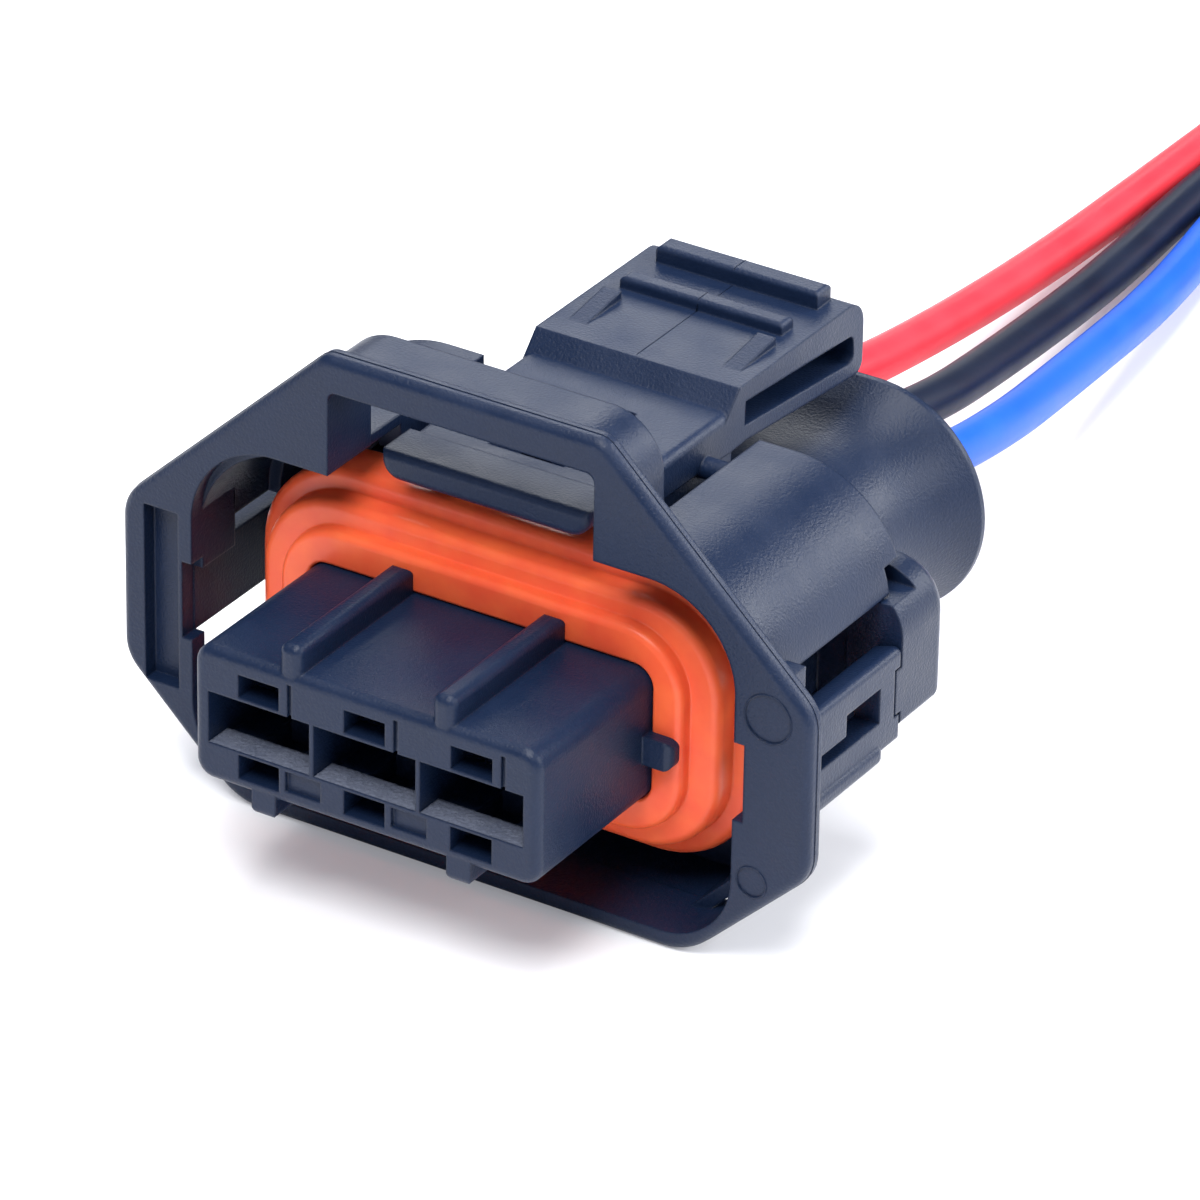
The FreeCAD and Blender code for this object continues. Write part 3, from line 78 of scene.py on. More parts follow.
right = Vector((math.cos(TURN), math.sin(TURN), 0))
back = Vector(
    (math.sin(TURN) * math.cos(TILT), -math.cos(TURN) * math.cos(TILT), math.sin(TILT))
)
up = back.cross(right)
level = Matrix((right, up, back)).transposed()
camera_turn = level @ Matrix.Rotation(-ROLL, 3, "Z")
distance = FOCAL_PX / PX_PER_MM * MM
half_px = IMAGE_PX / 2
offset = Vector(
    (
        (NOSE_PX[0] - half_px) / FOCAL_PX * distance,
        -(NOSE_PX[1] - half_px) / FOCAL_PX * distance,
        -distance,
    )
)
camera = placed("camera", bpy.data.cameras.new("camera"))
bpy.context.scene.camera = camera
camera.data.sensor_width = SENSOR_MM
camera.data.lens = FOCAL_PX / IMAGE_PX * camera.data.sensor_width
camera.data.clip_start = 0.01
camera.data.clip_end = 20.0
camera.matrix_world = Matrix.Translation(NOSE_FRONT - camera_turn @ offset) @ camera_turn.to_4x4()
print("camera at, mm:", [round(v / MM, 1) for v in camera.matrix_world.translation])

# %% [markdown]
# Each lead is a stranded copper wire in soft vinyl, about as thick as a shoelace's tip. It
# leaves the plug straight, sags to the table within a few centimetres, and the rest of it
# lies in a neat coil. A bevelled curve does all of that: one spline is the centreline, and
# the bevel depth is the insulation's radius. A NURBS spline of order 3 rounds every corner
# of its control points, which is how a soft wire behaves. Each control point also has a
# radius, which multiplies the bevel and widens the curve's box, so it is kept small and
# the bevel is divided by it.

# %% Lead routes
LEAD_RADIUS = 1.05 * MM
KNOT_RADIUS = 0.001
SPLINE_ORDER = 3
REST_Z = 1.1 * MM
LAYER = 2.15 * MM
COIL_CENTRE = Vector((7.1, 81.7, 0)) * MM
COIL_LENGTH = 98.0 * MM
LEADS = {
    "red": {
        "exit": (-5.3, 5.0, 8.95),
        "radius": 13.8 * MM,
        "climb": (235, 290),
        "points": [
            (-5.3, 16.5, 8.95),
            (-4.05, 28.0, 6.35),
            (-5.0, 39.5, 3.95),
            (-5.9, 51.5, 2.2),
            (-6.7, 64.0, 1.2),
            (-6.7, 75.7, 1.1),
        ],
    },
    "black": {
        "exit": (0.0, 5.0, 8.95),
        "radius": 11.6 * MM,
        "climb": (240, 300),
        "points": [
            (0.0, 16.5, 8.95),
            (0.68, 28.0, 6.35),
            (-1.1, 39.5, 3.95),
            (-2.65, 51.5, 2.2),
            (-4.5, 64.0, 1.2),
            (-4.5, 75.7, 1.1),
        ],
    },
    "blue": {
        "exit": (5.3, 5.0, 8.95),
        "radius": 9.4 * MM,
        "climb": (285, 345),
        "points": [
            (5.3, 16.5, 8.95),
            (4.54, 28.0, 6.35),
            (2.3, 39.5, 3.95),
            (0.46, 51.5, 2.2),
            (-2.3, 64.0, 1.2),
            (-2.3, 75.7, 1.1),
        ],
    },
}

# %% [markdown]
# A round coil needs control points a little outside the circle that the wire follows,
# because the spline cuts inside them. One every 30 degrees or closer keeps it round. Well
# into its first turn the wire climbs by one layer, so that it clears the leads that come
# in underneath.

# %% Coil turns
MOST_STEP = 30
SPLINE_STEPS = 12
BEVEL_STEPS = 7


def coil_points(radius, climb, length):
    """Control points of a two-layer coil, entered along +Y at its left side."""
    turn = math.degrees(length / radius)
    steps = math.ceil(turn / MOST_STEP)
    step = turn / steps
    outside = radius / math.cos(math.radians(step / 2))
    places = [((k - 0.5) * step, outside) for k in range(steps + 1)] + [(turn, radius)]
    points = []
    for angle, reach in places:
        share = min(max((angle - climb[0]) / (climb[1] - climb[0]), 0), 1)
        height = REST_Z + LAYER * share * share * (3 - 2 * share)
        a = math.radians(angle)
        points.append(COIL_CENTRE + Vector((-reach * math.cos(a), reach * math.sin(a), height)))
    return points


def lead_curve(colour):
    """The lead as a curve; its bevel is the insulation."""
    lead = LEADS[colour]
    points = [Vector(p) * MM for p in [lead["exit"], *lead["points"]]]
    points += coil_points(lead["radius"], lead["climb"], COIL_LENGTH)
    curve = bpy.data.curves.new(f"{colour}_wire", "CURVE")
    curve.dimensions = "3D"
    curve.resolution_u = SPLINE_STEPS
    curve.bevel_depth = LEAD_RADIUS / KNOT_RADIUS
    curve.bevel_resolution = BEVEL_STEPS
    curve.use_fill_caps = True
    spline = curve.splines.new("NURBS")
    spline.points.add(len(points) - 1)
    for knot, place in zip(spline.points, points):
        knot.co = (*place, 1)
        knot.radius = KNOT_RADIUS
    spline.order_u = SPLINE_ORDER
    spline.use_endpoint_u = True
    return placed(f"{colour}_wire", curve)


def centreline_length(wire):
    """Length of the curve's own line, measured on a copy with no bevel."""
    bare = wire.copy()
    bare.data = wire.data.copy()
    bare.data.bevel_depth = 0
    mesh = bpy.data.meshes.new_from_object(bare)
    knots = mesh.vertices
    ends = (edge.vertices for edge in mesh.edges)
    total = sum((knots[a].co - knots[b].co).length for a, b in ends)
    bpy.data.meshes.remove(mesh)
    bpy.data.curves.remove(bare.data)
    return total


# The bare strands at each lead's end have no faces yet. They are filled in further on.
wires = {colour: lead_curve(colour) for colour in LEADS}
bundles = {}
for colour in LEADS:
    name = f"{colour}_strands"
    bundles[colour] = placed(name, bpy.data.meshes.new(name))
for colour, wire in wires.items():
    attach(wire, "plug")
    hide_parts(f"{colour}_lead", f"{colour}_lead_coil")
    length = centreline_length(wire)
    print(colour, "lead, mm:", round(length / MM, 1))

# %% [markdown]
# Materials start from one helper, which gives a fresh node tree with a Principled shader,
# and a second one that reads Object coordinates in millimetres, so that the size of a
# grain can be written as it would be measured with a ruler.

# %% Material helpers
EDGE_SAMPLES = 6


def set_sockets(node, **values):
    """Sets inputs by name; an underscore stands for a space."""
    for socket, value in values.items():
        node.inputs[socket.replace("_", " ")].default_value = value


def new_finish(name, **sockets):
    """A material with one Principled shader; keyword values go on its own sockets."""
    made = bpy.data.materials.new(name)
    made.use_nodes = True
    nodes = made.node_tree.nodes
    shader = nodes["Principled BSDF"]
    set_sockets(shader, **sockets)
    return made, nodes, made.node_tree.links, shader


def noise(nodes, links, grain_mm, detail=2.0, roughness=0.5):
    """Noise whose blobs are about grain_mm across, on Object coordinates."""
    place = nodes.new("ShaderNodeTexCoord")
    made = nodes.new("ShaderNodeTexNoise")
    set_sockets(made, Scale=1 / (grain_mm * MM), Detail=detail, Roughness=roughness)
    links.new(place.outputs["Object"], made.inputs["Vector"])
    return made.outputs["Fac"]


def spread(nodes, links, source, low, high, start=0.3, end=0.7):
    """Maps start..end of a value to low..high, and holds it there beyond them."""
    made = nodes.new("ShaderNodeMapRange")
    set_sockets(made, From_Min=start, From_Max=end, To_Min=low, To_Max=high)
    links.new(source, made.inputs["Value"])
    return made.outputs["Result"]


def mixed_colour(nodes, links, share, first, second):
    """A colour between two, by a share."""
    made = nodes.new("ShaderNodeMix")
    made.data_type = "RGBA"
    made.inputs["A"].default_value = (*first, 1)
    made.inputs["B"].default_value = (*second, 1)
    links.new(share, made.inputs["Factor"])
    return made.outputs["Result"]


def bumped(nodes, links, shader, height, depth_mm, strength, edge_mm=None):
    """Relief from a height; edge_mm also softens the piece's edges."""
    made = nodes.new("ShaderNodeBump")
    set_sockets(made, Strength=strength, Distance=depth_mm * MM)
    links.new(height, made.inputs["Height"])
    if edge_mm:
        edge = nodes.new("ShaderNodeBevel")
        edge.samples = EDGE_SAMPLES
        edge.inputs["Radius"].default_value = edge_mm * MM
        links.new(edge.outputs["Normal"], made.inputs["Normal"])
    links.new(made.outputs["Normal"], shader.inputs["Normal"])


def describe(*finishes):
    """Prints the materials that a cell made."""
    print("materials:", ", ".join(finish.name for finish in finishes))


# %% [markdown]
# The moulding is black nylon with glass fibre in it. It isn't truly black: the fibre and
# the spark-eroded mould give it a slate bloom, with a fine grain that catches the light on
# rounded edges. Three noises do it: a coarse one for the flow of the melt, in the colour
# and the roughness, a fine speck in the colour, and the grain itself in the relief.

# %% Slate plastic
DARK_SLATE = (0.0045, 0.0115, 0.034)
PALE_SLATE = (0.0085, 0.0175, 0.046)
FLOW_MM = 2.6
SPECK_MM = 0.14
GRAIN_MM = 0.13
GRAIN_DEPTH_MM = 0.03
EDGE_MM = 0.16


def slate_plastic(name, tint, rough, painted_sheen=0.0):
    """Glass-filled nylon from a spark-eroded mould; the last argument paints a sheen of light into
    both colours.
    """
    made, nodes, links, shader = new_finish(name, Roughness=rough)
    set_sockets(shader, Specular_IOR_Level=0.24)
    flow = noise(nodes, links, FLOW_MM, detail=3.0)
    speck = noise(nodes, links, SPECK_MM)
    # The last argument lifts both colours by the same painted sheen of light.
    dark = [v * tint + painted_sheen / 2 for v in DARK_SLATE]
    pale = [v * tint + painted_sheen for v in PALE_SLATE]
    share = nodes.new("ShaderNodeMath")
    share.operation = "ADD"
    links.new(spread(nodes, links, flow, 0.0, 0.55), share.inputs[0])
    links.new(spread(nodes, links, speck, 0.0, 0.45, 0.45, 0.72), share.inputs[1])
    links.new(mixed_colour(nodes, links, share.outputs[0], dark, pale), shader.inputs["Base Color"])
    links.new(spread(nodes, links, flow, rough - 0.05, rough + 0.07), shader.inputs["Roughness"])
    grain = noise(nodes, links, GRAIN_MM, roughness=0.6)
    bumped(nodes, links, shader, grain, GRAIN_DEPTH_MM, strength=0.8, edge_mm=EDGE_MM)
    return made


housing_finish = slate_plastic("slate_housing", 1.0, 0.38)
latch_finish = slate_plastic("slate_latch", 1.1, 0.4)
lock_finish = slate_plastic("slate_lock", 0.95, 0.38)
describe(housing_finish, latch_finish, lock_finish)

# %% [markdown]
# The seal is silicone rubber. It is dull but not flat: light goes a little way in and
# comes out again, which keeps its shadows warm. A small subsurface share does that.

# %% Silicone
WARM_DEPTH_MM = 0.6
WARM_REACH = (1.0, 0.35, 0.12)
MOTTLE_MM = 1.8
SKIN_MM = 0.25
SKIN_DEPTH_MM = 0.012


def silicone(name, colour, deep):
    """Soft coloured rubber with a faint mottle."""
    made, nodes, links, shader = new_finish(name, Roughness=0.34)
    set_sockets(
        shader,
        Subsurface_Weight=0.2,
        Subsurface_Radius=WARM_REACH,
        Subsurface_Scale=WARM_DEPTH_MM * MM,
        Specular_IOR_Level=0.3,
    )
    mottle = noise(nodes, links, MOTTLE_MM, detail=3.0)
    links.new(
        mixed_colour(nodes, links, spread(nodes, links, mottle, 0.0, 1.0), deep, colour),
        shader.inputs["Base Color"],
    )
    links.new(spread(nodes, links, mottle, 0.3, 0.4), shader.inputs["Roughness"])
    skin = noise(nodes, links, SKIN_MM, detail=3.0)
    bumped(nodes, links, shader, skin, SKIN_DEPTH_MM, strength=0.4)
    return made


seal_finish = silicone("orange_silicone", (0.83, 0.13, 0.042), (0.76, 0.09, 0.036))
wire_seal_finish = silicone("wire_seal_silicone", (0.6, 0.1, 0.04), (0.52, 0.07, 0.03))
describe(seal_finish, wire_seal_finish)

# %% [markdown]
# The insulation is soft vinyl, drawn smooth over the strands, so it shines along its
# length. A wide, low noise keeps the highlight from looking drawn with a ruler.

# %% Vinyl
VINYL_DEPTH_MM = 0.3
VINYL_REACH = (0.5, 0.3, 0.3)
CLOUD_MM = 3.0
RIPPLE_MM = 0.7
RIPPLE_DEPTH_MM = 0.012


def vinyl(name, colour, deep, rough=0.38):
    """Extruded insulation with a slightly uneven shine."""
    made, nodes, links, shader = new_finish(name, Roughness=rough)
    set_sockets(
        shader,
        Specular_IOR_Level=0.12,
        Subsurface_Weight=0.08,
        Subsurface_Radius=VINYL_REACH,
        Subsurface_Scale=VINYL_DEPTH_MM * MM,
    )
    cloud = noise(nodes, links, CLOUD_MM)
    links.new(
        mixed_colour(nodes, links, spread(nodes, links, cloud, 0.0, 1.0), deep, colour),
        shader.inputs["Base Color"],
    )
    links.new(spread(nodes, links, cloud, rough - 0.04, rough + 0.06), shader.inputs["Roughness"])
    ripple = noise(nodes, links, RIPPLE_MM)
    bumped(nodes, links, shader, ripple, RIPPLE_DEPTH_MM, strength=0.4)
    return made


VINYL = {
    "red": vinyl("red_vinyl", (0.72, 0.04, 0.058), (0.66, 0.03, 0.046)),
    "black": vinyl("black_vinyl", (0.007, 0.012, 0.029), (0.005, 0.008, 0.021), 0.4),
    "blue": vinyl("blue_vinyl", (0.012, 0.095, 0.59), (0.008, 0.08, 0.52)),
}
for colour, wire in wires.items():
    wire.data.materials.append(VINYL[colour])
describe(*VINYL.values())

# %% [markdown]
# The contacts are tin-plated copper alloy, folded from strip, and their springs are thin
# stainless steel. Both are metals with brushed streaks along the strip. The same recipe in
# copper goes on the bare strands.

# %% Metals
STREAK_MM = 0.12
STREAK_STRETCH = (1.0, 0.08, 1.0)
STREAK_DEPTH_MM = 0.004
STRIP_EDGE_MM = 0.06


def rolled_metal(name, pale, dull, rough):
    """Strip metal with fine streaks along Y."""
    made, nodes, links, shader = new_finish(name, Metallic=1.0, Roughness=rough)
    place = nodes.new("ShaderNodeTexCoord")
    stretch = nodes.new("ShaderNodeMapping")
    set_sockets(stretch, Scale=STREAK_STRETCH)
    streak = nodes.new("ShaderNodeTexNoise")
    set_sockets(streak, Scale=1 / (STREAK_MM * MM), Detail=3.0)
    links.new(place.outputs["Object"], stretch.inputs["Vector"])
    links.new(stretch.outputs["Vector"], streak.inputs["Vector"])
    lines = streak.outputs["Fac"]
    links.new(
        mixed_colour(nodes, links, spread(nodes, links, lines, 0.0, 1.0), dull, pale),
        shader.inputs["Base Color"],
    )
    links.new(spread(nodes, links, lines, rough - 0.06, rough + 0.1), shader.inputs["Roughness"])
    bumped(nodes, links, shader, lines, STREAK_DEPTH_MM, strength=0.4, edge_mm=STRIP_EDGE_MM)
    return made


tin_finish = rolled_metal("tin_plate", (0.78, 0.77, 0.74), (0.6, 0.59, 0.56), 0.28)
steel_finish = rolled_metal("stainless_strip", (0.62, 0.62, 0.63), (0.46, 0.46, 0.47), 0.3)
copper_finish = rolled_metal("copper_wire", (0.86, 0.42, 0.25), (0.66, 0.29, 0.16), 0.3)
describe(tin_finish, steel_finish, copper_finish)

# %% [markdown]
# The seal is moulded in one piece of silicone with generous radii, because rubber fills a
# sharp corner badly and tears from one. So it is a loft here: a rounded rectangle grows
# and moves back step by step, and every edge of its profile is an arc. The profile's
# depths are counted from the nose's face.

# %% Seal profile
EYE_HALF = (8.65, 3.25)
EYE_CORNER = 0.95
SEAL_FRONT = 8.6
SEAL_REAR = 12.9
SEAL_STEPS = (
    {"half": (10.1, 4.9), "corner": 3.0, "front": SEAL_FRONT, "round": 0.36},
    {"half": (11.5, 5.9), "corner": 4.0, "front": 9.35, "round": 0.45},
    {"half": (12.4, 6.8), "corner": 4.7, "front": 10.6, "round": 0.45},
)
INNER_ROUND = 0.18
CREVICE = 0.09
LEAST_CORNER = 0.05
CORNER_STEPS = 12
EDGE_STEPS = 6
SMALL_EDGE_STEPS = 3


def rounded_loop(half, corner, depth):
    """One rounded rectangle across Y, at a depth behind the nose's face."""
    points = []
    for side_x, side_z, start in ((1, 1, 0), (-1, 1, 90), (-1, -1, 180), (1, -1, 270)):
        for k in range(CORNER_STEPS + 1):
            a = math.radians(start + 90 * k / CORNER_STEPS)
            x = side_x * (half[0] - corner) + corner * math.cos(a)
            z = side_z * (half[1] - corner) + corner * math.sin(a)
            points.append(Vector((x, FRONT_MM + depth, NOSE_AXIS_MM + z)) * MM)
    return points


def inset_loop(half, corner, inset, depth):
    """The same rectangle with its outline moved inwards."""
    corner = max(corner - inset, LEAST_CORNER)
    return rounded_loop((half[0] - inset, half[1] - inset), corner, depth)


def quarter(steps):
    """1 - sine and 1 - cosine, at even steps over a right angle."""
    angles = [math.radians(90 * k / steps) for k in range(steps + 1)]
    return [(1 - math.sin(a), 1 - math.cos(a)) for a in angles]


def seal_profile():
    """All loops from the rear of the eye, over the front, to the rear of the lip."""
    loops = [inset_loop(EYE_HALF, EYE_CORNER, 0, SEAL_REAR)]
    for fall, rise in quarter(EDGE_STEPS):
        depth = SEAL_FRONT + INNER_ROUND * fall
        loops.append(inset_loop(EYE_HALF, EYE_CORNER, -INNER_ROUND * rise, depth))
    for step, following in zip(SEAL_STEPS, [*SEAL_STEPS[1:], None]):
        outline = (step["half"], step["corner"])
        for fall, rise in quarter(EDGE_STEPS):
            depth = step["front"] + step["round"] * rise
            loops.append(inset_loop(*outline, step["round"] * fall, depth))
        if following:
            for fall, rise in quarter(SMALL_EDGE_STEPS):
                depth = following["front"] - CREVICE * fall
                loops.append(inset_loop(*outline, -CREVICE * rise, depth))
    for fall, rise in quarter(SMALL_EDGE_STEPS):
        loops.append(inset_loop(*outline, INNER_ROUND * rise, SEAL_REAR - INNER_ROUND * fall))
    return loops


def shell_of(name, shape):
    """The bmesh as a new object, with its normals turned outwards."""
    mesh = bpy.data.meshes.new(name)
    bmesh.ops.recalc_face_normals(shape, faces=shape.faces)
    shape.to_mesh(mesh)
    shape.free()
    return placed(name, mesh)


def lofted(name, loops):
    """A closed ring of quads through equal loops, joined end to end."""
    shape = bmesh.new()
    rings = [[shape.verts.new(p) for p in loop] for loop in loops]
    for ring, after in zip(rings, [*rings[1:], rings[0]]):
        for k in range(len(ring)):
            n = (k + 1) % len(ring)
            shape.faces.new((ring[k], ring[n], after[n], after[k])).smooth = True
    return shell_of(name, shape)


def attached(piece, slot, finish, *nodes):
    """Everything a new piece of the plug needs: body, finish and what it replaces. slot is not
    used.
    """
    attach(piece, "plug")
    if nodes:
        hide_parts(*nodes)
    piece.data.materials.clear()
    piece.data.materials.append(finish)
    return piece


seal = attached(lofted("seal_skin", seal_profile()), "seal_rubber", seal_finish, "interface_seal")
print("seal faces:", len(seal.data.polygons))

# %% [markdown]
# At the far end of each lead the insulation is stripped and the copper shows: thin strands
# laid round each other. One helix is enough. The node tree sets copies of it side by side
# by turning each a little further, and is used once per layer of strands.

# %% Strand recipe
STRIP_MM = 3.0
STRAND_RADIUS_MM = 0.13
# Per layer: how many strands, the layer's radius in mm, and the turns over the bare end.
STRAND_LAYERS = ((10, 0.45, 0.42), (4, 0.19, 0.3), (1, 0.0, 0.0))
HELIX_STEPS = 24
STRAND_SIDES = 8


def strand_tree():
    """Nodes that add one layer of twisted strands to what comes in."""
    tree = bpy.data.node_groups.new("strand_layer", "GeometryNodeTree")
    sockets = (
        ("Geometry", "NodeSocketGeometry"),
        ("Strands", "NodeSocketInt"),
        ("Layer Radius", "NodeSocketFloat"),
        ("Turns", "NodeSocketFloat"),
        ("Strand Radius", "NodeSocketFloat"),
        ("Length", "NodeSocketFloat"),
        ("Finish", "NodeSocketMaterial"),
    )
    for label, kind in sockets:
        tree.interface.new_socket(label, in_out="INPUT", socket_type=kind)
    tree.interface.new_socket("Geometry", in_out="OUTPUT", socket_type="NodeSocketGeometry")
    nodes, links = tree.nodes, tree.links
    given = nodes.new("NodeGroupInput").outputs
    helix = nodes.new("GeometryNodeCurveSpiral")
    set_sockets(helix, Resolution=HELIX_STEPS)
    points = nodes.new("GeometryNodePoints")
    index = nodes.new("GeometryNodeInputIndex")
    full_turn = nodes.new("ShaderNodeMath")
    full_turn.operation = "DIVIDE"
    full_turn.inputs[0].default_value = math.tau
    angle = nodes.new("ShaderNodeMath")
    angle.operation = "MULTIPLY"
    turned = nodes.new("ShaderNodeCombineXYZ")
    copies = nodes.new("GeometryNodeInstanceOnPoints")
    real = nodes.new("GeometryNodeRealizeInstances")
    outline = nodes.new("GeometryNodeCurvePrimitiveCircle")
    set_sockets(outline, Resolution=STRAND_SIDES)
    tubes = nodes.new("GeometryNodeCurveToMesh")
    set_sockets(tubes, Fill_Caps=True)
    painted = nodes.new("GeometryNodeSetMaterial")
    together = nodes.new("GeometryNodeJoinGeometry")
    links.new(given["Turns"], helix.inputs["Rotations"])
    links.new(given["Layer Radius"], helix.inputs["Start Radius"])
    links.new(given["Layer Radius"], helix.inputs["End Radius"])
    links.new(given["Length"], helix.inputs["Height"])
    links.new(given["Strands"], points.inputs["Count"])
    links.new(given["Strands"], full_turn.inputs[1])
    links.new(index.outputs[0], angle.inputs[0])
    links.new(full_turn.outputs[0], angle.inputs[1])
    links.new(angle.outputs[0], turned.inputs["Z"])
    links.new(points.outputs[0], copies.inputs["Points"])
    links.new(helix.outputs[0], copies.inputs["Instance"])
    links.new(turned.outputs[0], copies.inputs["Rotation"])
    links.new(copies.outputs[0], real.inputs[0])
    links.new(given["Strand Radius"], outline.inputs["Radius"])
    links.new(real.outputs[0], tubes.inputs["Curve"])
    links.new(outline.outputs[0], tubes.inputs["Profile Curve"])
    links.new(tubes.outputs[0], painted.inputs["Geometry"])
    links.new(given["Finish"], painted.inputs["Material"])
    links.new(given["Geometry"], together.inputs[0])
    links.new(painted.outputs[0], together.inputs[0])
    links.new(together.outputs[0], nodes.new("NodeGroupOutput").inputs[0])
    return tree


def fill_with_strands(seed, tree, layers, finish):
    """Gives an empty piece the evaluated strands, with no modifier left on it."""
    inputs = [item for item in tree.interface.items_tree if item.in_out == "INPUT"]
    labels = {item.name: item.identifier for item in inputs}
    for strands, layer_mm, turns in layers:
        step = seed.modifiers.new("layer", "NODES")
        step.node_group = tree
        step[labels["Strands"]] = strands
        step[labels["Layer Radius"]] = layer_mm * MM
        step[labels["Turns"]] = turns
        step[labels["Strand Radius"]] = STRAND_RADIUS_MM * MM
        step[labels["Length"]] = STRIP_MM * MM
        step[labels["Finish"]] = finish
    ready = seed.evaluated_get(bpy.context.evaluated_depsgraph_get())
    mesh = bpy.data.meshes.new_from_object(ready)
    seed.modifiers.clear()
    seed.data = mesh
    for face in mesh.polygons:
        face.use_smooth = True


strand_layer = strand_tree()
for colour, wire in wires.items():
    last, before = (Vector(wire.data.splines[0].points[k].co[:3]) for k in (-1, -2))
    along = (last - before).normalized()
    bundle = bundles[colour]
    fill_with_strands(bundle, strand_layer, STRAND_LAYERS, copper_finish)
    turn = Vector((0, 0, 1)).rotation_difference(along).to_matrix().to_4x4()
    bundle.data.transform(Matrix.Translation(last) @ turn)
    attached(bundle, "bare_copper", copper_finish, f"{colour}_lead_end")
    bpy.context.view_layer.update()
    print(bundle.name, "triangles:", sum(len(f.vertices) - 2 for f in bundle.data.polygons))

# %% [markdown]
# The floor of each mouth was left rough by the spark that cut the mould there, so it
# scatters more light than the walls. A grid of points with small random heights gives it
# real relief. The brightness of that scattered light is also painted into its finish, as a
# paler, greyer slate: a painted sheen.

# %% Rough mouth floors
MOUTH_MM = (5.04, 1.36)  # across and deep
FLOOR_MM = 7.6
FLOOR_LIFT_MM = 0.012
FLOOR_SUNK_MM = 0.01
FLOOR_SETBACK_MM = 0.03
RELIEF_MM = 0.022
GRID_CELLS = (84, 22)
WAYS_MM = (-5.3, 0.0, 5.3)
relief = random.Random(11)


def rough_floor(name, centre_x):
    """A thin closed plate whose top is a grid of uneven heights."""
    wide, deep = MOUTH_MM
    middle_y = FRONT_MM + deep / 2 + FLOOR_SETBACK_MM
    middle = Vector((centre_x, middle_y, FLOOR_MM + FLOOR_LIFT_MM)) * MM
    shape = bmesh.new()
    bmesh.ops.create_grid(
        shape,
        x_segments=GRID_CELLS[0],
        y_segments=GRID_CELLS[1],
        size=1,
        matrix=Matrix.Translation(middle) @ Matrix.Diagonal((wide / 2 * MM, deep / 2 * MM, 1, 1)),
    )
    top = list(shape.verts)
    base = bmesh.ops.extrude_face_region(shape, geom=shape.faces[:])
    for vert in (v for v in base["geom"] if isinstance(v, bmesh.types.BMVert)):
        vert.co.z = (FLOOR_MM - FLOOR_SUNK_MM) * MM
    for vert in top:
        vert.co.z += relief.random() * RELIEF_MM * MM
    return shell_of(name, shape)


# Twice the tint and the added grey make this finish paler than the walls: a painted sheen for the
# light the rough floors scatter.
rough_painted_sheen_finish = slate_plastic("slate_rough_painted_sheen", 2.0, 0.6, painted_sheen=0.14)
for way, centre_x in enumerate(WAYS_MM, 1):
    attached(rough_floor(f"mouth_floor_{way}", centre_x), "housing_plastic", rough_painted_sheen_finish)
print("mouth floors:", len(WAYS_MM))

# %% [markdown]
# Where two halves of a mould meet they leave a hair-thin ridge. Each ridge here is laid
# over the CAD surface by casting rays at it, so it follows every step of the shape.

# %% Mould lines
RIDGE_MM = 0.07
RIDGE_SUNK_MM = 0.02
JUMP_MM = 0.6
LATCH_LINE_X_MM = -0.15
LATCH_LINE_START_MM = 21.2
LATCH_LINE_STEP_MM = 0.1
LATCH_LINE_STEPS = 92
LATCH_LINE_RISE_MM = 0.03
LATCH_RAY_Z_MM = 25
HOOP_FACE_MM = 7.1
HOOP_LINE_SETBACK_MM = 0.62
HOOP_LINE_RISE_MM = 0.035
HOOP_RAY_MM = 30
# In degrees round the nose's axis. Further round, the line would dip under the floor.
HOOP_LINE_TURN = (-36, 216)


def surface_runs(node, rays):
    """Places and outward normals where rays meet a node, split at every jump."""
    surface = bpy.data.objects[node].data
    tree = BVHTree.FromPolygons(
        [v.co for v in surface.vertices], [tuple(f.vertices) for f in surface.polygons]
    )
    runs = [[]]
    for start, way in rays:
        place, normal, _, _ = tree.ray_cast(Vector(start) * MM, Vector(way))
        if place is None:
            runs.append([])
            continue
        if runs[-1] and (runs[-1][-1][0] - place).length > JUMP_MM * MM:
            runs.append([])
        outward = normal if normal.dot(Vector(way)) < 0 else -normal
        runs[-1].append((place, outward))
    return [run for run in runs if len(run) > 2]


def ridge(name, node, rays, rise_mm):
    """A thin three-sided ridge where the rays meet the node's surface."""
    shape = bmesh.new()
    for run in surface_runs(node, rays):
        rings = []
        for k, (place, outward) in enumerate(run):
            along = (run[min(k + 1, len(run) - 1)][0] - run[max(k - 1, 0)][0]).normalized()
            across = along.cross(outward).normalized() * RIDGE_MM / 2 * MM
            low = place - outward * RIDGE_SUNK_MM * MM
            crest = place + outward * rise_mm * MM
            rings.append([shape.verts.new(p) for p in (low - across, crest, low + across)])
        for ring, after in zip(rings, rings[1:]):
            for k in range(3):
                n = (k + 1) % 3
                shape.faces.new((ring[k], ring[n], after[n], after[k]))
        shape.faces.new(rings[0])
        shape.faces.new(rings[-1])
    return shell_of(name, shape)


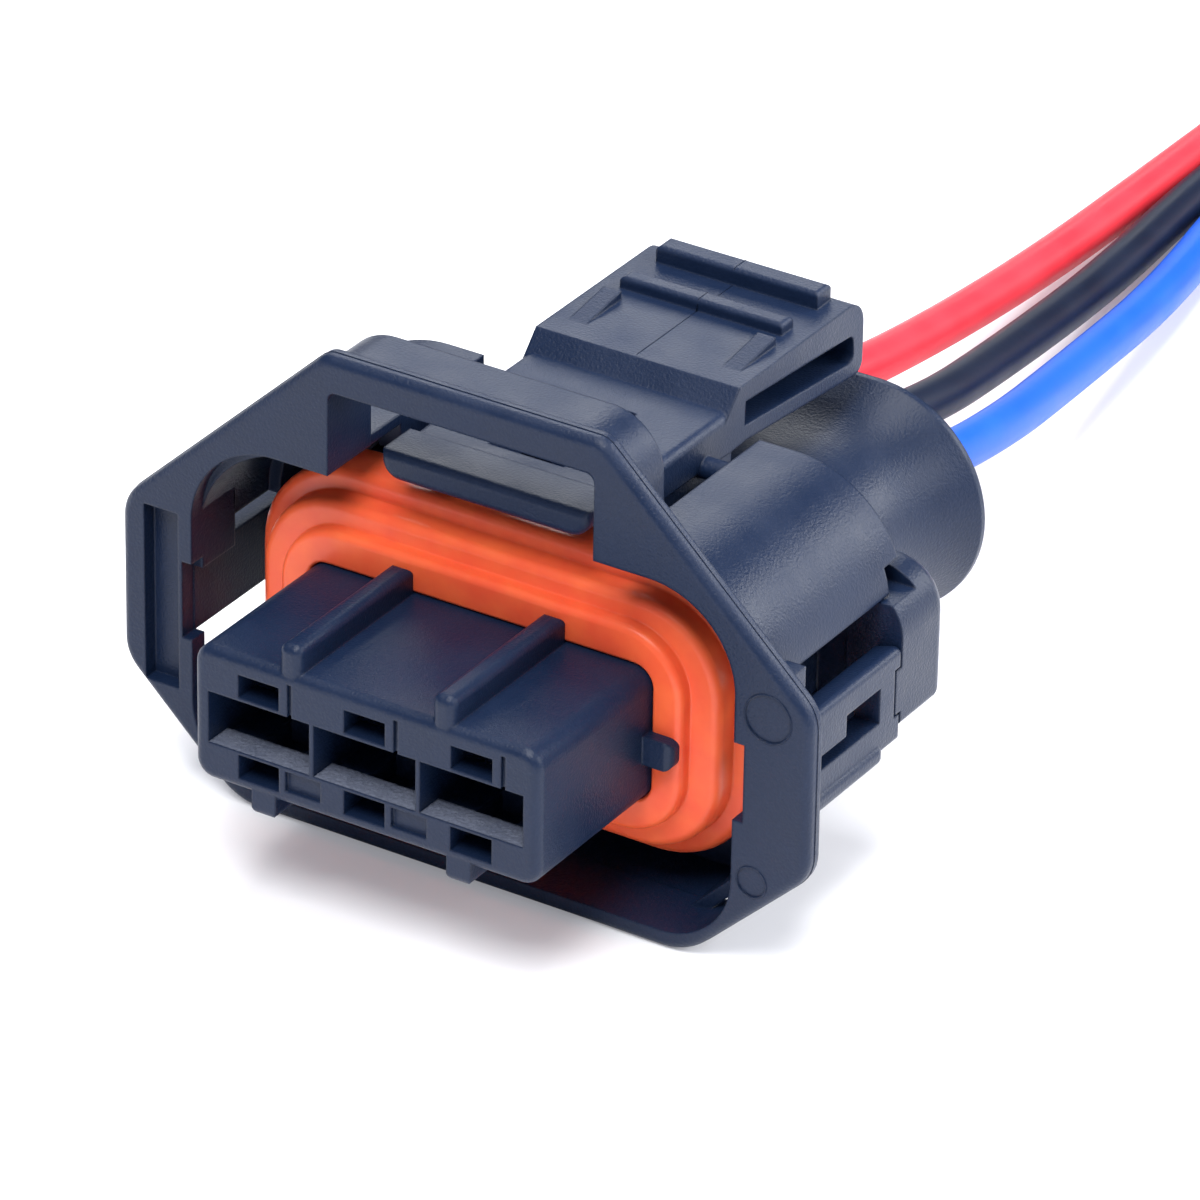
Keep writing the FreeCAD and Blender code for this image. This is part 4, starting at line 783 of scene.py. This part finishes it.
latch_rays = []
for k in range(LATCH_LINE_STEPS):
    start_y = FRONT_MM + LATCH_LINE_START_MM + LATCH_LINE_STEP_MM * k
    latch_rays.append(((LATCH_LINE_X_MM, start_y, LATCH_RAY_Z_MM), (0, 0, -1)))
hoop_rays = []
for k in range(HOOP_LINE_TURN[0], HOOP_LINE_TURN[1] + 1):
    x, z = math.cos(math.radians(k)), math.sin(math.radians(k))
    start_y = FRONT_MM + HOOP_FACE_MM + HOOP_LINE_SETBACK_MM
    start = (HOOP_RAY_MM * x, start_y, NOSE_AXIS_MM + HOOP_RAY_MM * z)
    hoop_rays.append((start, (-x, 0, -z)))
latch_line = ridge("latch_mould_line", "latch_lever", latch_rays, LATCH_LINE_RISE_MM)
hoop_line = ridge("hoop_mould_line", "housing", hoop_rays, HOOP_LINE_RISE_MM)
attached(latch_line, "latch_plastic", latch_finish)
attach(latch_line, "latch")
attached(hoop_line, "housing_plastic", housing_finish)
print("mould line faces:", len(latch_line.data.polygons), len(hoop_line.data.polygons))

# %% [markdown]
# Two ejector pins pushed on the right cheek of the hoop. A pin leaves a shallow round
# print with a fine raised rim.

# %% Ejector rims
# Per rim: its label, its centre from the nose's axis across and up, and its radius.
RIMS_MM = (("high", 15.2, 3.7, 1.12), ("low", 14.6, -4.3, 0.72))
RIM_WIRE_MM = 0.045
RIM_SUNK_MM = 0.005
RIM_STEPS = 48
RIM_SIDES = 8


def rim(name, x, z, radius):
    """A thin ring half sunk in the hoop's front face."""
    loops = []
    for k in range(RIM_SIDES):
        b = math.tau * k / RIM_SIDES
        reach = radius + RIM_WIRE_MM * math.cos(b)
        depth = FRONT_MM + HOOP_FACE_MM + RIM_SUNK_MM + RIM_WIRE_MM * math.sin(b)
        loop = []
        for j in range(RIM_STEPS):
            a = math.tau * j / RIM_STEPS
            place = (x + reach * math.cos(a), depth, NOSE_AXIS_MM + z + reach * math.sin(a))
            loop.append(Vector(place) * MM)
        loops.append(loop)
    return lofted(name, loops)


for label, x, z, radius in RIMS_MM:
    attached(rim(f"{label}_ejector_rim", x, z, radius), "housing_plastic", housing_finish)
print("ejector rims:", len(RIMS_MM))

# %% [markdown]
# The pieces that come from the CAD model keep their shapes. They only get their materials.

# %% Dress the CAD pieces
FINISHES = {
    "housing": housing_finish,
    "latch_lever": latch_finish,
    "secondary_lock": lock_finish,
}
for way in (1, 2, 3):
    FINISHES[f"terminal_{way}"] = tin_finish
    FINISHES[f"terminal_spring_{way}"] = steel_finish
    FINISHES[f"wire_seal_{way}"] = wire_seal_finish
for node, finish in FINISHES.items():
    piece = bpy.data.objects[node]
    piece.data.materials.clear()
    piece.data.materials.append(finish)
print("finishes set on", len(FINISHES), "CAD pieces")

# %% [markdown]
# The floor is a plain pale plane. For the camera it adds some light of its own, more of it
# further out, so that the ground runs to white while the soft shadow stays; every other
# ray sees plain paint. The sky is dimmer in reflections than as fill light, and white
# where the camera sees it.

# %% Floor and backdrop
FLOOR_HALF_M = 3.0
GLOW_STRENGTH = 1.1
WHITER_FROM_M, WHITEST_FROM_M = 0.13, 0.32
SKY_FILL, SKY_MIRRORED, SKY_SEEN = 0.45, 0.14, 1.15


def pale_floor():
    """A wide plane that the plug stands on."""
    mesh = bpy.data.meshes.new("floor")
    shape = bmesh.new()
    bmesh.ops.create_grid(shape, x_segments=1, y_segments=1, size=FLOOR_HALF_M)
    shape.to_mesh(mesh)
    shape.free()
    floor = placed("floor", mesh)
    made, nodes, links, shader = new_finish("floor_paint", Roughness=0.9)
    set_sockets(shader, Base_Color=(0.93, 0.93, 0.95, 1), Specular_IOR_Level=0.0)
    rays = nodes.new("ShaderNodeLightPath")
    glow = nodes.new("ShaderNodeEmission")
    set_sockets(glow, Color=(0.94, 0.94, 1, 1), Strength=GLOW_STRENGTH)
    place = nodes.new("ShaderNodeTexCoord")
    reach = nodes.new("ShaderNodeVectorMath")
    reach.operation = "LENGTH"
    links.new(place.outputs["Object"], reach.inputs[0])
    far = reach.outputs["Value"]
    whiter = spread(nodes, links, far, 0.2, 1.0, WHITER_FROM_M, WHITEST_FROM_M)
    seen = nodes.new("ShaderNodeMath")
    seen.operation = "MULTIPLY"
    links.new(whiter, seen.inputs[1])
    links.new(rays.outputs["Is Camera Ray"], seen.inputs[0])
    blend = nodes.new("ShaderNodeMixShader")
    links.new(seen.outputs[0], blend.inputs[0])
    links.new(shader.outputs[0], blend.inputs[1])
    links.new(glow.outputs[0], blend.inputs[2])
    links.new(blend.outputs[0], nodes["Material Output"].inputs["Surface"])
    mesh.materials.append(made)
    return floor


pale_floor()

world = bpy.data.worlds.new("studio")
bpy.context.scene.world = world
world.use_nodes = True
sky = world.node_tree.nodes
sky_links = world.node_tree.links
rays = sky.new("ShaderNodeLightPath")
mirrored = sky.new("ShaderNodeMapRange")
set_sockets(mirrored, To_Min=SKY_FILL, To_Max=SKY_MIRRORED)
sky_links.new(rays.outputs["Is Glossy Ray"], mirrored.inputs["Value"])
seen = sky.new("ShaderNodeMapRange")
set_sockets(seen, To_Max=SKY_SEEN)
sky_links.new(rays.outputs["Is Camera Ray"], seen.inputs["Value"])
sky_links.new(mirrored.outputs["Result"], seen.inputs["To Min"])
sky_links.new(seen.outputs["Result"], sky["Background"].inputs["Strength"])
set_sockets(sky["Background"], Color=(0.86, 0.9, 1, 1))
print("sky strength: fill", SKY_FILL, "mirrored", SKY_MIRRORED, "seen", SKY_SEEN)

# %% [markdown]
# The picture is shown with the plain Standard transform, so a finish keeps the colour that
# it was given.
#
# Five soft lamps, as in a product studio. The two behind the plug are what the camera sees
# mirrored: the left one in the flat tops, the right one as a band down the curved shell,
# with a dark gap between them. The others fill the seal, the mouths and the flank without
# a mirror image of their own.

# %% Lamps
bpy.context.scene.view_settings.view_transform = "Standard"
PLUG_MIDDLE = Vector((0, 0, 10)) * MM
DAYLIGHT = (0.95, 0.97, 1.0)


def soft_lamp(name, place_mm, size_mm, power, colour=(1, 1, 1)):
    """An area lamp, wide and high as asked, that looks at the middle of the plug."""
    data = bpy.data.lights.new(name, "AREA")
    data.shape = "RECTANGLE"
    data.size = size_mm[0] * MM
    data.size_y = size_mm[1] * MM
    data.energy = power
    data.color = colour
    lamp = placed(name, data)
    lamp.location = Vector(place_mm) * MM
    lamp.rotation_mode = "QUATERNION"
    lamp.rotation_quaternion = (PLUG_MIDDLE - lamp.location).to_track_quat("-Z", "Y")
    print(name, "watts:", power)


soft_lamp("back_left_lamp", (-231, 371, 253), (230, 200), 0.72, DAYLIGHT)
soft_lamp("back_right_lamp", (255, 371, 205), (190, 260), 1.6, DAYLIGHT)
soft_lamp("top_lamp", (0, 40, 480), (280, 280), 1.9)
soft_lamp("front_lamp", (60, -230, 430), (260, 200), 2.3)
soft_lamp("right_lamp", (330, 90, 200), (260, 220), 0.9)
